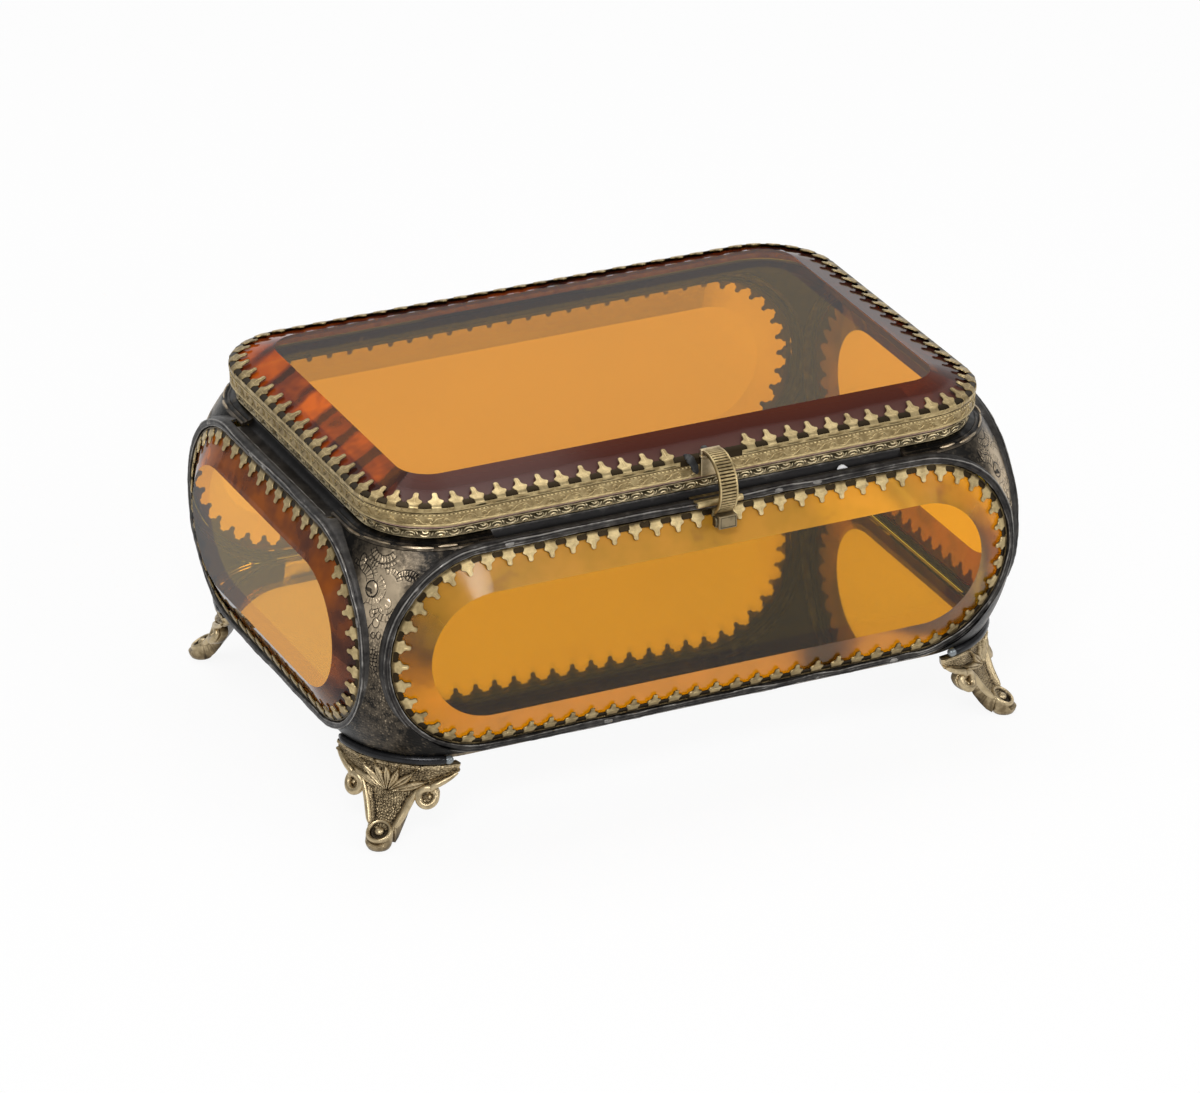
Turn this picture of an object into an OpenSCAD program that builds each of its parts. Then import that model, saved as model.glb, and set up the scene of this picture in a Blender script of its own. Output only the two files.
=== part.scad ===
// Glass casket box: bevelled amber panes held by pierced gallery strips in a
// bombe metal body on four scroll feet, with a hinged lid and a sprung clasp.
// Origin: middle of the whole casket, clasp included, at table height.
// +X is the length, -Y the front with the clasp, +Z up.

/* [Lid] */
// Outside length of the lid's rim
lid_l = 150; // [140:1:164]
// Outside width of the lid's rim
lid_w = 101; // [94:1:112]
// Corner radius of the lid's rim
lid_r = 17.7; // [15:0.1:20]
// Height of the rim's band
lid_band_h = 4.5; // [4:0.1:6]
// Wall of the rim's band
lid_band_t = 0.9; // [0.7:0.1:1.2]
// Shadow gap between the lid's band and the body rim
lid_gap = 1; // [0.6:0.1:1.6]
// Thickness of the lid's glass at its edge
lid_edge_t = 1.5; // [1:0.1:2.5]
// Width of the bevel round the lid's glass
lid_bevel_w = 9.2; // [6:0.1:10]
// Rise of the bevel round the lid's glass
lid_bevel_h = 3.5; // [2:0.1:4]

/* [Body] */
// Height of the casket's underside above the table
foot_h = 19.5; // [16:0.5:26]
// Height from the underside to the top of the body rim
body_h = 53.5; // [52.5:0.5:60]
// How far the body rim is set in from the lid's rim
rim_inset = 1.2; // [0.6:0.1:2]
// Height of the body rim
rim_h = 2.2; // [1.6:0.1:3]
// Thickness of the body rim
rim_t = 2; // [1.5:0.1:3]
// How far the bombe corners swell beyond the body rim at their widest
swell_out = 11.3; // [10.6:0.05:12]
// How far the corners stand out from the body rim at their top
swell_top = 3.1; // [2.4:0.1:4]
// How far the corners stand out from the body rim at their foot
swell_low = 5.3; // [4.6:0.1:6]
// Thickness of the corner sheets
sheet_t = 1; // [0.8:0.1:1.4]
// Thickness of the coves between the body rim and the panes
cove_t = 0.7; // [0.5:0.1:0.8]

/* [Panes] */
// Height of the middle of a pane's lower rod above the underside
pane_low = 1.3; // [1.2:0.1:2]
// Depth of the middle of a pane's upper rod below the body rim
pane_top = 2; // [1.8:0.1:2.6]
// How far the front and back frames reach past the ends of the body rim
front_reach = 2.5; // [1.5:0.1:3]
// How far the left and right frames reach past the sides of the body rim
side_reach = -0.3; // [-1.5:0.1:0.2]
// How far the front and back panes sit out from the body rim
front_out = 3.9; // [3:0.1:5]
// How far the left and right panes sit out from the body rim
side_out = 5.8; // [4:0.1:6.4]
// Radius of the rods that frame the panes
rod_r = 0.9; // [0.7:0.05:1]
// Thickness of the panes at their edges
pane_edge_t = 1.4; // [1:0.1:2]
// Width of the bevel round a pane
pane_bevel_w = 7.6; // [5:0.1:9]
// Rise of the bevel round a pane
pane_bevel_h = 3.6; // [2:0.1:4]

/* [Gallery] */
// Spacing of the gallery's prongs
pitch = 5; // [4.5:0.1:7]
// Length of a prong from its neck to its tip
prong_l = 3.8; // [3:0.1:5]
// Width of a prong across its lobes
prong_w = 3.5; // [2.5:0.1:4]
// Width of a prong's neck
neck_w = 1.8; // [1:0.1:2]
// Width of a prong's tip
tip_w = 1.2; // [0.8:0.1:1.6]
// Thickness of the gallery strip and its prongs
strip_t = 0.5; // [0.4:0.05:0.7]
// Space that the putty bed leaves between glass and metal
bed = 0.15; // [0.1:0.05:0.3]

/* [Bottom] */
// Thickness of the base frame
base_t = 0.8; // [0.6:0.1:1.5]
// Width of the ledges that carry the mirror plate and the lid glass
ledge_w = 6; // [4:0.5:9]
// Thickness of the mirror plate at the bottom
floor_t = 2; // [1.5:0.1:3]

/* [Feet] */
// Radius of a foot's toe
toe_r = 2.9; // [2.4:0.1:3.6]
// How far a toe reaches beyond the foot's plate
toe_out = 4.9; // [4:0.1:8]
// Width of a foot's plate across the corner
foot_w = 30; // [26:0.5:31]
// Thickness of a foot's plate
foot_t = 2.2; // [1.6:0.1:3]
// Radius of the scrolls beside a foot's leg
scroll_r = 2.6; // [2:0.1:3]
// Distance between the two scrolls of a foot
scroll_gap = 18; // [17:0.2:21]
// Turn of a foot from the corner's diagonal towards the side
foot_turn = 3; // [0:0.5:6]
// Radius of the solder bead between a foot and its corner
bead_r = 1.15; // [0.8:0.05:1.3]

/* [Clasp] */
// How far the clasp sits to the right of the middle
clasp_x = 2.5; // [-6:0.5:6]
// Width of the reeded bow
bow_w = 4.4; // [3:0.1:6]
// Outside radius of the bow
bow_r = 7.2; // [6.8:0.1:7.6]
// Thickness of the bow
bow_t = 0.8; // [0.6:0.1:1]
// Distance from the lid's rim out to the middle of the bow's curve
bow_off = 2.1; // [1.8:0.1:2.4]
// Depth of the thumb block from front to back
thumb_d = 2.5; // [2:0.1:4]
// Width of the thumb block under the bow
thumb_w = 5.2; // [4:0.1:7]
// Height of the thumb block
thumb_h = 3.2; // [2:0.1:4]
// Length of the rolled catch on the body
catch_l = 11; // [8:0.5:14]
// Radius of the catch's roll
catch_r = 0.75; // [0.5:0.05:0.8]

/* [Hinge] */
// Length of the hinge
hinge_l = 40; // [30:1:60]
// Outside radius of the hinge's knuckles
knuckle_r = 1.5; // [1.3:0.1:1.7]
// Radius of the hinge's pin
pin_r = 0.7; // [0.5:0.05:0.8]
// Clearance between the pin and the knuckles that turn on it
pin_play = 0.05; // [0.02:0.01:0.08]
// Gap between neighbouring knuckles
knuckle_gap = 0.35; // [0.3:0.05:0.6]
// Thickness of the hinge's leaves
leaf_t = 0.6; // [0.5:0.1:1]

/* [Hidden] */
$fn = 64;

brass = [0.66, 0.56, 0.36];
dark_brass = [0.35, 0.31, 0.25];
solder = [0.14, 0.13, 0.13];
amber = [0.82, 0.52, 0.12, 0.6];
silvered = [0.88, 0.89, 0.88];

// Clearance between neighbouring pieces that are soldered together
seam = 0.1;
// Clearance between pieces that move past each other
free = 0.3;
// A little more than nothing, so that a cut runs past the face it starts from
past = 1;

// Levels
rim_top = foot_h + body_h;
rim_low = rim_top - rim_h;
lid_z = rim_top + lid_gap;
pane_r = (body_h - rim_h - pane_low - pane_top) / 2;
pane_mid = foot_h + pane_low + pane_r;
sheet_low = foot_h + bead_r + free;
sheet_high = rim_low - 1.5 * sheet_t;

// Half sizes in plan
lid_hx = lid_l / 2;
lid_hy = lid_w / 2;
rim_hx = lid_hx - rim_inset;
rim_hy = lid_hy - rim_inset;
rim_r = lid_r - rim_inset;
corner_x = rim_hx - rim_r;
corner_y = rim_hy - rim_r;

// Panes: straight stretches, and distances from a pane's centre line outwards
front_run = 2 * (rim_hx + front_reach - pane_r);
side_run = 2 * (rim_hy + side_reach - pane_r);
cut_r = pane_r + rod_r + seam / 2;
strip_out = pane_r - rod_r - seam / 2;
strip_in = strip_out - strip_t;
glass_r = strip_in - bed;
front_y = rim_hy + front_out;
side_x = rim_hx + side_out;
bevel_tilt = atan(pane_bevel_h / pane_bevel_w);

// Half of what the clasp's bow reaches beyond the front pane
middle_y = (lid_hy + bow_off + bow_r - front_y - pane_bevel_h) / 2;

// Circle of the swell, from its fall-off at the top and at the foot
fall_top = swell_out - swell_top;
fall_low = swell_out - swell_low;
widest_share = sqrt(fall_low) / (sqrt(fall_low) + sqrt(fall_top));
swell_mid = sheet_low + (sheet_high - sheet_low) * widest_share;
swell_r = (pow(sheet_high - swell_mid, 2) + pow(fall_top, 2)) / (2 * fall_top);

// Swell of the corners beyond the body rim at height z
function swell(z) = swell_out - swell_r + sqrt(pow(swell_r, 2) - pow(z - swell_mid, 2));

// Angle on the swell's circle at height z
function swell_angle(z) = asin((z - swell_mid) / swell_r);

// Where the feet meet the corners
bead_z = foot_h + free / 2;
foot_rho = rim_r + swell(sheet_low);
foot_top = bead_z - bead_r - seam;

// Half of the way round a rounded rectangle with half sizes hx, hy and corner radius r
function half_way(hx, hy, r) = 2 * (hx - r) + 2 * (hy - r) + PI * r;

// Point and heading at distance s along a rounded rectangle, from the middle of its near side
function edge_at(s, hx, hy, r) =
    let (a = hx - r, b = hy - r, q = PI * r / 2, h = half_way(hx, hy, r))
    s >= h ? let (p = edge_at(s - h, hx, hy, r)) [-p[0], -p[1], p[2] + 180]
    : s < a ? [s, -hy, 0]
    : s < a + q ? let (t = (s - a) / q * 90) [a + r * sin(t), -b - r * cos(t), t]
    : s < a + q + 2 * b ? [hx, s - a - q - b, 90]
    : s < a + 2 * q + 2 * b ?
        let (t = (s - a - q - 2 * b) / q * 90) [a + r * cos(t), b + r * sin(t), 90 + t]
    : [a - (s - a - 2 * q - 2 * b), hy, 180];

// ---- shapes shared by several pieces ----

module round_rect(hx, hy, r) {
    square([2 * hx, 2 * (hy - r)], center = true);
    square([2 * (hx - r), 2 * hy], center = true);
    for (sx = [-1, 1], sy = [-1, 1])
        translate([sx * (hx - r), sy * (hy - r)]) circle(r);
}

module stadium(run, r) {
    square([run, 2 * r], center = true);
    for (s = [-1, 1])
        translate([s * run / 2, 0]) circle(r);
}

// Flat ring between two rounded rectangles, wall t
module ring(hx, hy, r, t, h) {
    linear_extrude(h)
        difference() {
            round_rect(hx, hy, r);
            round_rect(hx - t, hy - t, r - t);
        }
}

// Bevelled plate with a rounded outline: edge te thick, bevel w wide and h high
module bevelled_plate(hx, hy, r, te, w, h) {
    linear_extrude(te) round_rect(hx, hy, r);
    translate([0, 0, te]) {
        for (sx = [-1, 1], sy = [-1, 1])
            translate([sx * (hx - r), sy * (hy - r), 0]) cylinder(h = h, r1 = r, r2 = r - w);
        rotate([90, 0, 90])
            linear_extrude(2 * (hx - r), center = true)
                polygon([[-hy, 0], [hy, 0], [hy - w, h], [w - hy, h]]);
        rotate([90, 0, 0])
            linear_extrude(2 * (hy - r), center = true)
                polygon([[-hx, 0], [hx, 0], [hx - w, h], [w - hx, h]]);
    }
}

// One prong, flat, its neck at the origin and its tip towards +Y
module prong() {
    lobe_y = prong_l * 0.42;
    linear_extrude(strip_t)
        polygon([
            [-neck_w / 2, -strip_t / 4], [neck_w / 2, -strip_t / 4], [neck_w / 2, lobe_y / 2],
            [prong_w / 2, lobe_y * 0.8], [prong_w / 2, lobe_y * 1.2], [tip_w / 2, lobe_y * 1.6],
            [tip_w / 2, prong_l], [-tip_w / 2, prong_l], [-tip_w / 2, lobe_y * 1.6],
            [-prong_w / 2, lobe_y * 1.2], [-prong_w / 2, lobe_y * 0.8], [-neck_w / 2, lobe_y / 2]
        ]);
}

// Prongs all round an outline, leaning in over the bevel; none within gap_w of gap_x on the near side
module prongs(hx, hy, r, tilt, gap_x, gap_w) {
    way = 2 * half_way(hx, hy, r);
    count = round(way / pitch);
    for (i = [0 : count - 1]) {
        p = edge_at((i + 0.5) * way / count, hx, hy, r);
        if (p[1] > 0 || abs(p[0] - gap_x) > gap_w / 2)
            translate([p[0], p[1], 0])
                rotate([0, 0, p[2]])
                    rotate([tilt, 0, 0])
                        prong();
    }
}

// ---- a pane, lying in the XY plane with +Z outwards ----

module pane_frame(run) {
    for (s = [-1, 1]) {
        translate([0, s * pane_r, 0])
            rotate([0, 90, 0]) cylinder(h = run, r = rod_r, center = true);
        translate([s * run / 2, 0, 0])
            rotate([0, 0, -s * 90])
                rotate_extrude(angle = 180) translate([pane_r, 0]) circle(rod_r);
    }
}

module pane_gallery(run) {
    depth = pane_edge_t + bed;
    lip = strip_t;
    translate([0, 0, -depth])
        linear_extrude(depth + lip)
            difference() {
                stadium(run, strip_out);
                stadium(run, strip_in);
            }
    reach = strip_out - strip_t / 2;
    translate([0, 0, bed])
        prongs(run / 2 + reach, reach, reach, bevel_tilt, 0, 0);
}

module pane_glass(run) {
    flat_r = glass_r - pane_bevel_w;
    translate([0, 0, -pane_edge_t])
        linear_extrude(pane_edge_t) stadium(run, glass_r);
    for (s = [-1, 1])
        translate([s * run / 2, 0, 0]) cylinder(h = pane_bevel_h, r1 = glass_r, r2 = flat_r);
    rotate([90, 0, 90])
        linear_extrude(run, center = true)
            polygon([[-glass_r, 0], [glass_r, 0], [flat_r, pane_bevel_h], [-flat_r, pane_bevel_h]]);
}

module at_front() { translate([0, -front_y, pane_mid]) rotate([90, 0, 0]) children(); }
module at_back() { translate([0, front_y, pane_mid]) rotate([90, 0, 180]) children(); }
module at_left() { translate([-side_x, 0, pane_mid]) rotate([90, 0, -90]) children(); }
module at_right() { translate([side_x, 0, pane_mid]) rotate([90, 0, 90]) children(); }

// Carries what is built about the body's middle to the middle of the whole casket
module centred() { translate([0, middle_y, 0]) children(); }

// ---- body ----

bead_in = foot_rho - sheet_t / 2 - bead_r - free;
lip_x = min(side_x - pane_edge_t - bed - free, corner_x + bead_in);
lip_y = min(front_y - pane_edge_t - bed - free, corner_y + bead_in);
base_z = foot_top + seam;

module base_frame() {
    color(dark_brass) centred()
        translate([0, 0, base_z])
            ring(lip_x, lip_y, rim_r + front_out, ledge_w, base_t);
}

// Mirror plate that lies on the base frame, silvered underneath
module bottom_mirror() {
    color(silvered) centred()
        translate([0, 0, base_z + base_t + bed])
            linear_extrude(floor_t)
                round_rect(lip_x - free, lip_y - free, rim_r + front_out - free);
}

module body_rim() {
    color(dark_brass) centred()
        translate([0, 0, rim_low])
            ring(rim_hx, rim_hy, rim_r, rim_t, rim_h);
}

// Section of a corner sheet: the swell's arc, then a shoulder that runs in under the rim
module sheet_section() {
    steps = 14;
    a0 = swell_angle(sheet_low);
    a1 = swell_angle(sheet_high);
    arc = [for (i = [0 : steps]) a0 + (a1 - a0) * i / steps];
    mid = [rim_r + swell_out - swell_r, swell_mid];
    outside = [for (a = arc) mid + swell_r * [cos(a), sin(a)]];
    inside = [for (i = [steps : -1 : 0]) mid + (swell_r - sheet_t) * [cos(arc[i]), sin(arc[i])]];
    shoulder = [[rim_r, rim_low - seam], [rim_r - sheet_t, rim_low - seam], [rim_r - sheet_t, rim_low - sheet_t]];
    polygon(concat(outside, shoulder, inside));
}

// Corner sheet in the +X +Y corner, cut out for the two panes beside it
module pillar() {
    trim = 4;
    color(dark_brass)
        difference() {
            translate([corner_x, corner_y, 0])
                rotate([0, 0, trim])
                    rotate_extrude(angle = 90 - 2 * trim) sheet_section();
            at_back()
                linear_extrude(4 * front_y, center = true) stadium(front_run, cut_r);
            at_right()
                linear_extrude(4 * side_x, center = true) stadium(side_run, cut_r);
        }
}

// Carries the +X +Y corner's pieces to the corner on the side sx, sy
module corner(sx, sy) {
    centred()
        mirror([sx > 0 ? 0 : 1, 0, 0])
            mirror([0, sy > 0 ? 0 : 1, 0])
                children();
}

module pillar_front_left() { corner(-1, -1) pillar(); }
module pillar_front_right() { corner(1, -1) pillar(); }
module pillar_back_left() { corner(-1, 1) pillar(); }
module pillar_back_right() { corner(1, 1) pillar(); }

// Hollow strip between the body rim and the top of a pane's frame
module cove(len, half, out) {
    t = cove_t;
    top = rim_low - seam;
    floor_z = pane_mid + strip_out + 2 * seam;
    color(solder)
        rotate([90, 0, 90])
            linear_extrude(len, center = true)
                polygon([
                    [half - t, top], [half, top], [half + t / 2, top - t], [half + 2 * t, floor_z + t],
                    [half + out - rod_r - seam, floor_z + t], [half + out - rod_r - seam, floor_z],
                    [half + t, floor_z], [half - t, top - 2 * t]
                ]);
}

module cove_front() { centred() mirror([0, 1, 0]) cove(2 * corner_x, rim_hy, front_out); }
module cove_back() { centred() cove(2 * corner_x, rim_hy, front_out); }
module cove_left() { centred() rotate([0, 0, 90]) cove(2 * corner_y, rim_hx, side_out); }
module cove_right() { centred() rotate([0, 0, -90]) cove(2 * corner_y, rim_hx, side_out); }

module frame_front() { color(solder) centred() at_front() pane_frame(front_run); }
module frame_back() { color(solder) centred() at_back() pane_frame(front_run); }
module frame_left() { color(solder) centred() at_left() pane_frame(side_run); }
module frame_right() { color(solder) centred() at_right() pane_frame(side_run); }

module gallery_front() { color(brass) centred() at_front() pane_gallery(front_run); }
module gallery_back() { color(brass) centred() at_back() pane_gallery(front_run); }
module gallery_left() { color(brass) centred() at_left() pane_gallery(side_run); }
module gallery_right() { color(brass) centred() at_right() pane_gallery(side_run); }

module glass_front() { color(amber) centred() at_front() pane_glass(front_run); }
module glass_back() { color(amber) centred() at_back() pane_glass(front_run); }
module glass_left() { color(amber) centred() at_left() pane_glass(side_run); }
module glass_right() { color(amber) centred() at_right() pane_glass(side_run); }

// ---- feet, modelled in the +X +Y corner ----

module foot_bead() {
    front_trim = 11;
    side_trim = 2;
    color(solder)
        translate([corner_x, corner_y, 0])
            rotate([0, 0, side_trim])
                rotate_extrude(angle = 90 - front_trim - side_trim)
                    translate([foot_rho - sheet_t / 2, bead_z]) circle(bead_r);
}

// Section of a foot through the corner's diagonal: an S curve down to the toe
module foot_section() {
    rho = foot_rho;
    z = foot_top;
    leg_end = rho + toe_out - toe_r / 4;
    polygon([
        [rho, z], [rho - 0.3, z * 0.8], [rho - 0.4, z * 0.62], [rho + 0.4, z * 0.45],
        [rho + 2.2, z * 0.3], [leg_end, z * 0.24], [leg_end, 0.6],
        [rho + toe_out * 0.6, 0.8], [rho + 0.6, z * 0.15], [rho - foot_t, z * 0.42],
        [rho - foot_t - 0.5, z * 0.62], [rho - foot_t, z]
    ]);
}

// Outline of a foot seen along the diagonal: a plate that narrows to the leg
module foot_outline() {
    half = foot_w / 2;
    z = foot_top;
    right = [
        [half, z], [half - 0.6, z * 0.9], [scroll_gap / 2 + scroll_r, z * 0.72],
        [scroll_gap / 2 - scroll_r / 2, z * 0.6], [scroll_gap / 2 - scroll_r - 0.6, z * 0.55],
        [5, z * 0.43], [3.7, z * 0.28], [toe_r * 0.85, z * 0.17], [toe_r * 0.6, 0]
    ];
    left = [for (i = [len(right) - 1 : -1 : 0]) [-right[i][0], right[i][1]]];
    polygon(concat(right, left));
}

// Turned toe with a flat button on top and a flat sole
module toe() {
    round_r = toe_r * 0.8;
    rotate_extrude()
        intersection() {
            square([toe_r, 2 * round_r]);
            translate([0, round_r * 0.92]) {
                translate([toe_r - round_r, 0]) circle(round_r);
                translate([0, -round_r]) square([toe_r - round_r, 2 * round_r]);
            }
        }
}

module foot() {
    scroll_z = foot_top * 0.63;
    scroll_turn = asin(scroll_gap / 2 / foot_rho);
    scroll_back = foot_rho - foot_t / 2;
    scroll_len = foot_t / 2 + 0.6;
    color(brass)
        translate([corner_x, corner_y, 0])
            rotate([0, 0, 45 - foot_turn]) {
                intersection() {
                    rotate([0, 0, -45]) rotate_extrude(angle = 90) foot_section();
                    rotate([90, 0, 90])
                        linear_extrude(2 * foot_rho + toe_out) foot_outline();
                }
                for (s = [-1, 1])
                    rotate([0, 0, s * scroll_turn])
                        translate([scroll_back, 0, scroll_z])
                            rotate([0, 90, 0]) cylinder(h = scroll_len, r = scroll_r);
                translate([foot_rho + toe_out, 0, 0]) toe();
            }
}

module foot_bead_front_left() { corner(-1, -1) foot_bead(); }
module foot_bead_front_right() { corner(1, -1) foot_bead(); }
module foot_bead_back_left() { corner(-1, 1) foot_bead(); }
module foot_bead_back_right() { corner(1, 1) foot_bead(); }

module foot_front_left() { corner(-1, -1) foot(); }
module foot_front_right() { corner(1, -1) foot(); }
module foot_back_left() { corner(-1, 1) foot(); }
module foot_back_right() { corner(1, 1) foot(); }

// ---- lid ----

glass_low = lid_z + lid_band_h - lid_edge_t;

module lid_gallery() {
    hx = lid_hx - lid_band_t / 2;
    hy = lid_hy - lid_band_t / 2;
    lid_tilt = atan(lid_bevel_h / lid_bevel_w);
    color(brass) centred() {
        translate([0, 0, lid_z])
            ring(lid_hx, lid_hy, lid_r, lid_band_t, lid_band_h);
        translate([0, 0, lid_z + lid_band_h - strip_t / 4])
            prongs(hx, hy, lid_r - lid_band_t / 2, lid_tilt, clasp_x, thumb_w + pitch);
    }
}

// Inner frame: a flange that meets the body rim and a ledge under the glass
module lid_frame() {
    gap = lid_band_t + bed;
    color(dark_brass) centred() {
        translate([0, 0, rim_top + free])
            ring(lid_hx - gap, lid_hy - gap, lid_r - gap, strip_t * 2,
                glass_low - bed - rim_top - free);
        translate([0, 0, glass_low - bed - sheet_t])
            ring(lid_hx - gap, lid_hy - gap, lid_r - gap, ledge_w, sheet_t);
    }
}

module lid_glass() {
    gap = lid_band_t + bed;
    color(amber) centred()
        translate([0, 0, glass_low])
            bevelled_plate(lid_hx - gap, lid_hy - gap, lid_r - gap, lid_edge_t - bed,
                lid_bevel_w, lid_bevel_h);
}

// ---- hinge, along the middle of the back ----

hinge_y = lid_hy + knuckle_r + seam;
hinge_z = rim_top + lid_gap / 2;
knuckles = 5;
knuckle_l = hinge_l / knuckles;

// Knuckle number i of the hinge, with its bore
module knuckle(i, bore_r) {
    translate([(i - (knuckles - 1) / 2) * knuckle_l, hinge_y, hinge_z])
        rotate([0, 90, 0])
            difference() {
                cylinder(h = knuckle_l - knuckle_gap, r = knuckle_r, center = true);
                cylinder(h = knuckle_l + past, r = bore_r, center = true);
            }
}

// Strip of leaf at knuckle i, between two places in y and two in z
module leaf(i, y0, y1, z0, z1, bore_r) {
    translate([(i - (knuckles - 1) / 2) * knuckle_l, 0, 0])
        difference() {
            translate([(knuckle_gap - knuckle_l) / 2, y0, z0])
                cube([knuckle_l - knuckle_gap, y1 - y0, z1 - z0]);
            translate([0, hinge_y, hinge_z])
                rotate([0, 90, 0]) cylinder(h = knuckle_l + past, r = bore_r, center = true);
        }
}

module hinge_leaf_body() {
    y0 = rim_hy + seam / 2;
    arm_z = hinge_z - knuckle_r;
    color(dark_brass) centred() {
        translate([-hinge_l / 2, y0, rim_low])
            cube([hinge_l, leaf_t, arm_z + leaf_t - rim_low]);
        for (i = [0 : 2 : knuckles - 1]) {
            knuckle(i, pin_r);
            leaf(i, y0, hinge_y, arm_z, arm_z + leaf_t, pin_r);
        }
    }
}

module hinge_leaf_lid() {
    y0 = lid_hy + seam / 2;
    low = hinge_z + knuckle_r / 2;
    bore_r = pin_r + pin_play;
    color(dark_brass) centred() {
        translate([-hinge_l / 2, y0, hinge_z + knuckle_r + free])
            cube([hinge_l, leaf_t, lid_band_h - knuckle_r - free]);
        for (i = [1 : 2 : knuckles - 1]) {
            knuckle(i, bore_r);
            leaf(i, y0, y0 + leaf_t, low, hinge_z + knuckle_r + leaf_t, bore_r);
        }
    }
}

module hinge_pin() {
    color(brass) centred()
        translate([0, hinge_y, hinge_z])
            rotate([0, 90, 0])
                cylinder(h = hinge_l + 2 * leaf_t, r = pin_r, center = true);
}

// ---- clasp ----

bow_y = -(lid_hy + bow_off);
bow_z = rim_top + 0.4;
bow_top = 105;
bow_end = -52;
bow_in = bow_r - bow_t;
root_y = bow_y - bow_r * cos(bow_top);
root_z = bow_z + bow_r * sin(bow_top);

// Plate soldered to the lid's band, with the bead that the bow springs from
module clasp_plate() {
    w = bow_w + 2;
    plate_y = -(lid_hy + seam / 2);
    root_t = lid_band_t;
    color(brass) centred()
        translate([clasp_x - w / 2, 0, 0]) {
            translate([0, plate_y - strip_t, lid_z + seam])
                cube([w, strip_t, lid_band_h - seam]);
            translate([0, plate_y - strip_t, lid_z + lid_band_h])
                cube([w, root_t + strip_t, strip_t]);
            translate([0, root_y + free, lid_z + lid_band_h])
                cube([w, root_t, root_z - lid_z - lid_band_h]);
        }
}

// Reeded spring bow, from its root on the lid round to the thumb block
module clasp_bow() {
    color(brass) centred()
        translate([clasp_x, bow_y, bow_z])
            rotate([90, 0, -90])
                rotate([0, 0, bow_end])
                    rotate_extrude(angle = bow_top - bow_end)
                        translate([bow_in, -bow_w / 2]) square([bow_t, bow_w]);
}

// Block at the bow's end that the thumb pulls
module clasp_thumb() {
    back = bow_y - bow_r * cos(bow_end) + bow_t;
    top = bow_z + bow_r * sin(bow_end) - seam;
    color(brass) centred()
        translate([clasp_x - thumb_w / 2, back - thumb_d, top - thumb_h])
            cube([thumb_w, thumb_d, thumb_h]);
}

// Tab from the cove's face over the front frame's rod, its outer edge rolled down
module catch() {
    roll_y = -(front_y + rod_r + seam + catch_r);
    root = -(rim_hy + 2 * cove_t + seam);
    tab_z = pane_mid + pane_r + rod_r + seam;
    color(brass) centred()
        translate([clasp_x - catch_l / 2, 0, 0]) {
            translate([0, roll_y, tab_z])
                cube([catch_l, root - roll_y, strip_t]);
            translate([0, roll_y, tab_z + strip_t - catch_r])
                rotate([0, 90, 0]) cylinder(h = catch_l, r = catch_r);
        }
}

base_frame();
bottom_mirror();
body_rim();
pillar_front_left();
pillar_front_right();
pillar_back_left();
pillar_back_right();
cove_front();
cove_back();
cove_left();
cove_right();
frame_front();
frame_back();
frame_left();
frame_right();
gallery_front();
gallery_back();
gallery_left();
gallery_right();
glass_front();
glass_back();
glass_left();
glass_right();
foot_bead_front_left();
foot_bead_front_right();
foot_bead_back_left();
foot_bead_back_right();
foot_front_left();
foot_front_right();
foot_back_left();
foot_back_right();
catch();
hinge_leaf_body();
hinge_pin();
lid_gallery();
lid_frame();
lid_glass();
hinge_leaf_lid();
clasp_plate();
clasp_bow();
clasp_thumb();
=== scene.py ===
"""Visual model of the glass casket box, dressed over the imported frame.

Shapes are drawn in millimetres about the middle of the body; Build.done turns them into metres
in the frame. Each pane has a plane of its own: u runs along it, v up and w outwards.
"""
import math
import random

import bmesh
import bpy
import numpy as np
from mathutils import Matrix, Vector


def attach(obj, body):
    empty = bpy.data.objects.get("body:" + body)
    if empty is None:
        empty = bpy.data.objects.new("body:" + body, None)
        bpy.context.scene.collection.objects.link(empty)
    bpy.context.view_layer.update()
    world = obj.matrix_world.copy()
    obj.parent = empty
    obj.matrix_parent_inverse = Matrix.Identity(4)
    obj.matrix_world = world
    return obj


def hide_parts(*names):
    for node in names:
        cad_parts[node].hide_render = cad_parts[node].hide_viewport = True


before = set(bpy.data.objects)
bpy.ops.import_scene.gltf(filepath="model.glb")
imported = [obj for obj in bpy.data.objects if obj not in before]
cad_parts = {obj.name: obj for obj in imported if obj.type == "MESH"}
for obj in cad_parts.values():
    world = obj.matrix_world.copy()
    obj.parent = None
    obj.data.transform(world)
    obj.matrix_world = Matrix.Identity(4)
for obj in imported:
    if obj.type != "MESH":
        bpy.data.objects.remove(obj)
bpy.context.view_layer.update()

# ---- sizes of the solids ----

MIDDLE_Y = 1.5            # the frame's origin lies this far in front of the body's middle
LID = (75.0, 50.5, 17.7)  # half sizes and corner radius of the lid's rim
RIM = (73.8, 49.3, 16.5)  # the same for the body rim
LID_TOP = 78.5
CORNER_X, CORNER_Y = 57.3, 32.8  # axis of a corner's curve
PANE_MID, PANE_R = 44.8, 24.0    # height of the panes' middle, radius of their frames
FRONT_RUN, SIDE_RUN = 104.6, 50.0  # straight length of a frame's long sides
FRONT_Y, SIDE_X = 53.2, 79.6     # planes of the panes
CUT_R = 24.4              # radius of the panes' cut in the corner sheets
STRIP_OUT = 23.05         # radius of the panes' gallery strips
PANE_TILT = math.atan2(3.6, 7.6)  # slope of a pane's bevel
LID_TILT = math.atan2(3.5, 9.2)   # and of the lid's
PITCH = 5.0               # from prong to prong
CLASP_X = 2.5
BOW_Y, BOW_Z, BOW_R, BOW_T, BOW_W = -52.6, 73.4, 7.2, 0.8, 4.4  # axis, radius, thickness, width
BOW_LOW, BOW_HIGH = -52.0, 105.0  # angles where the bow ends and starts

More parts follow.
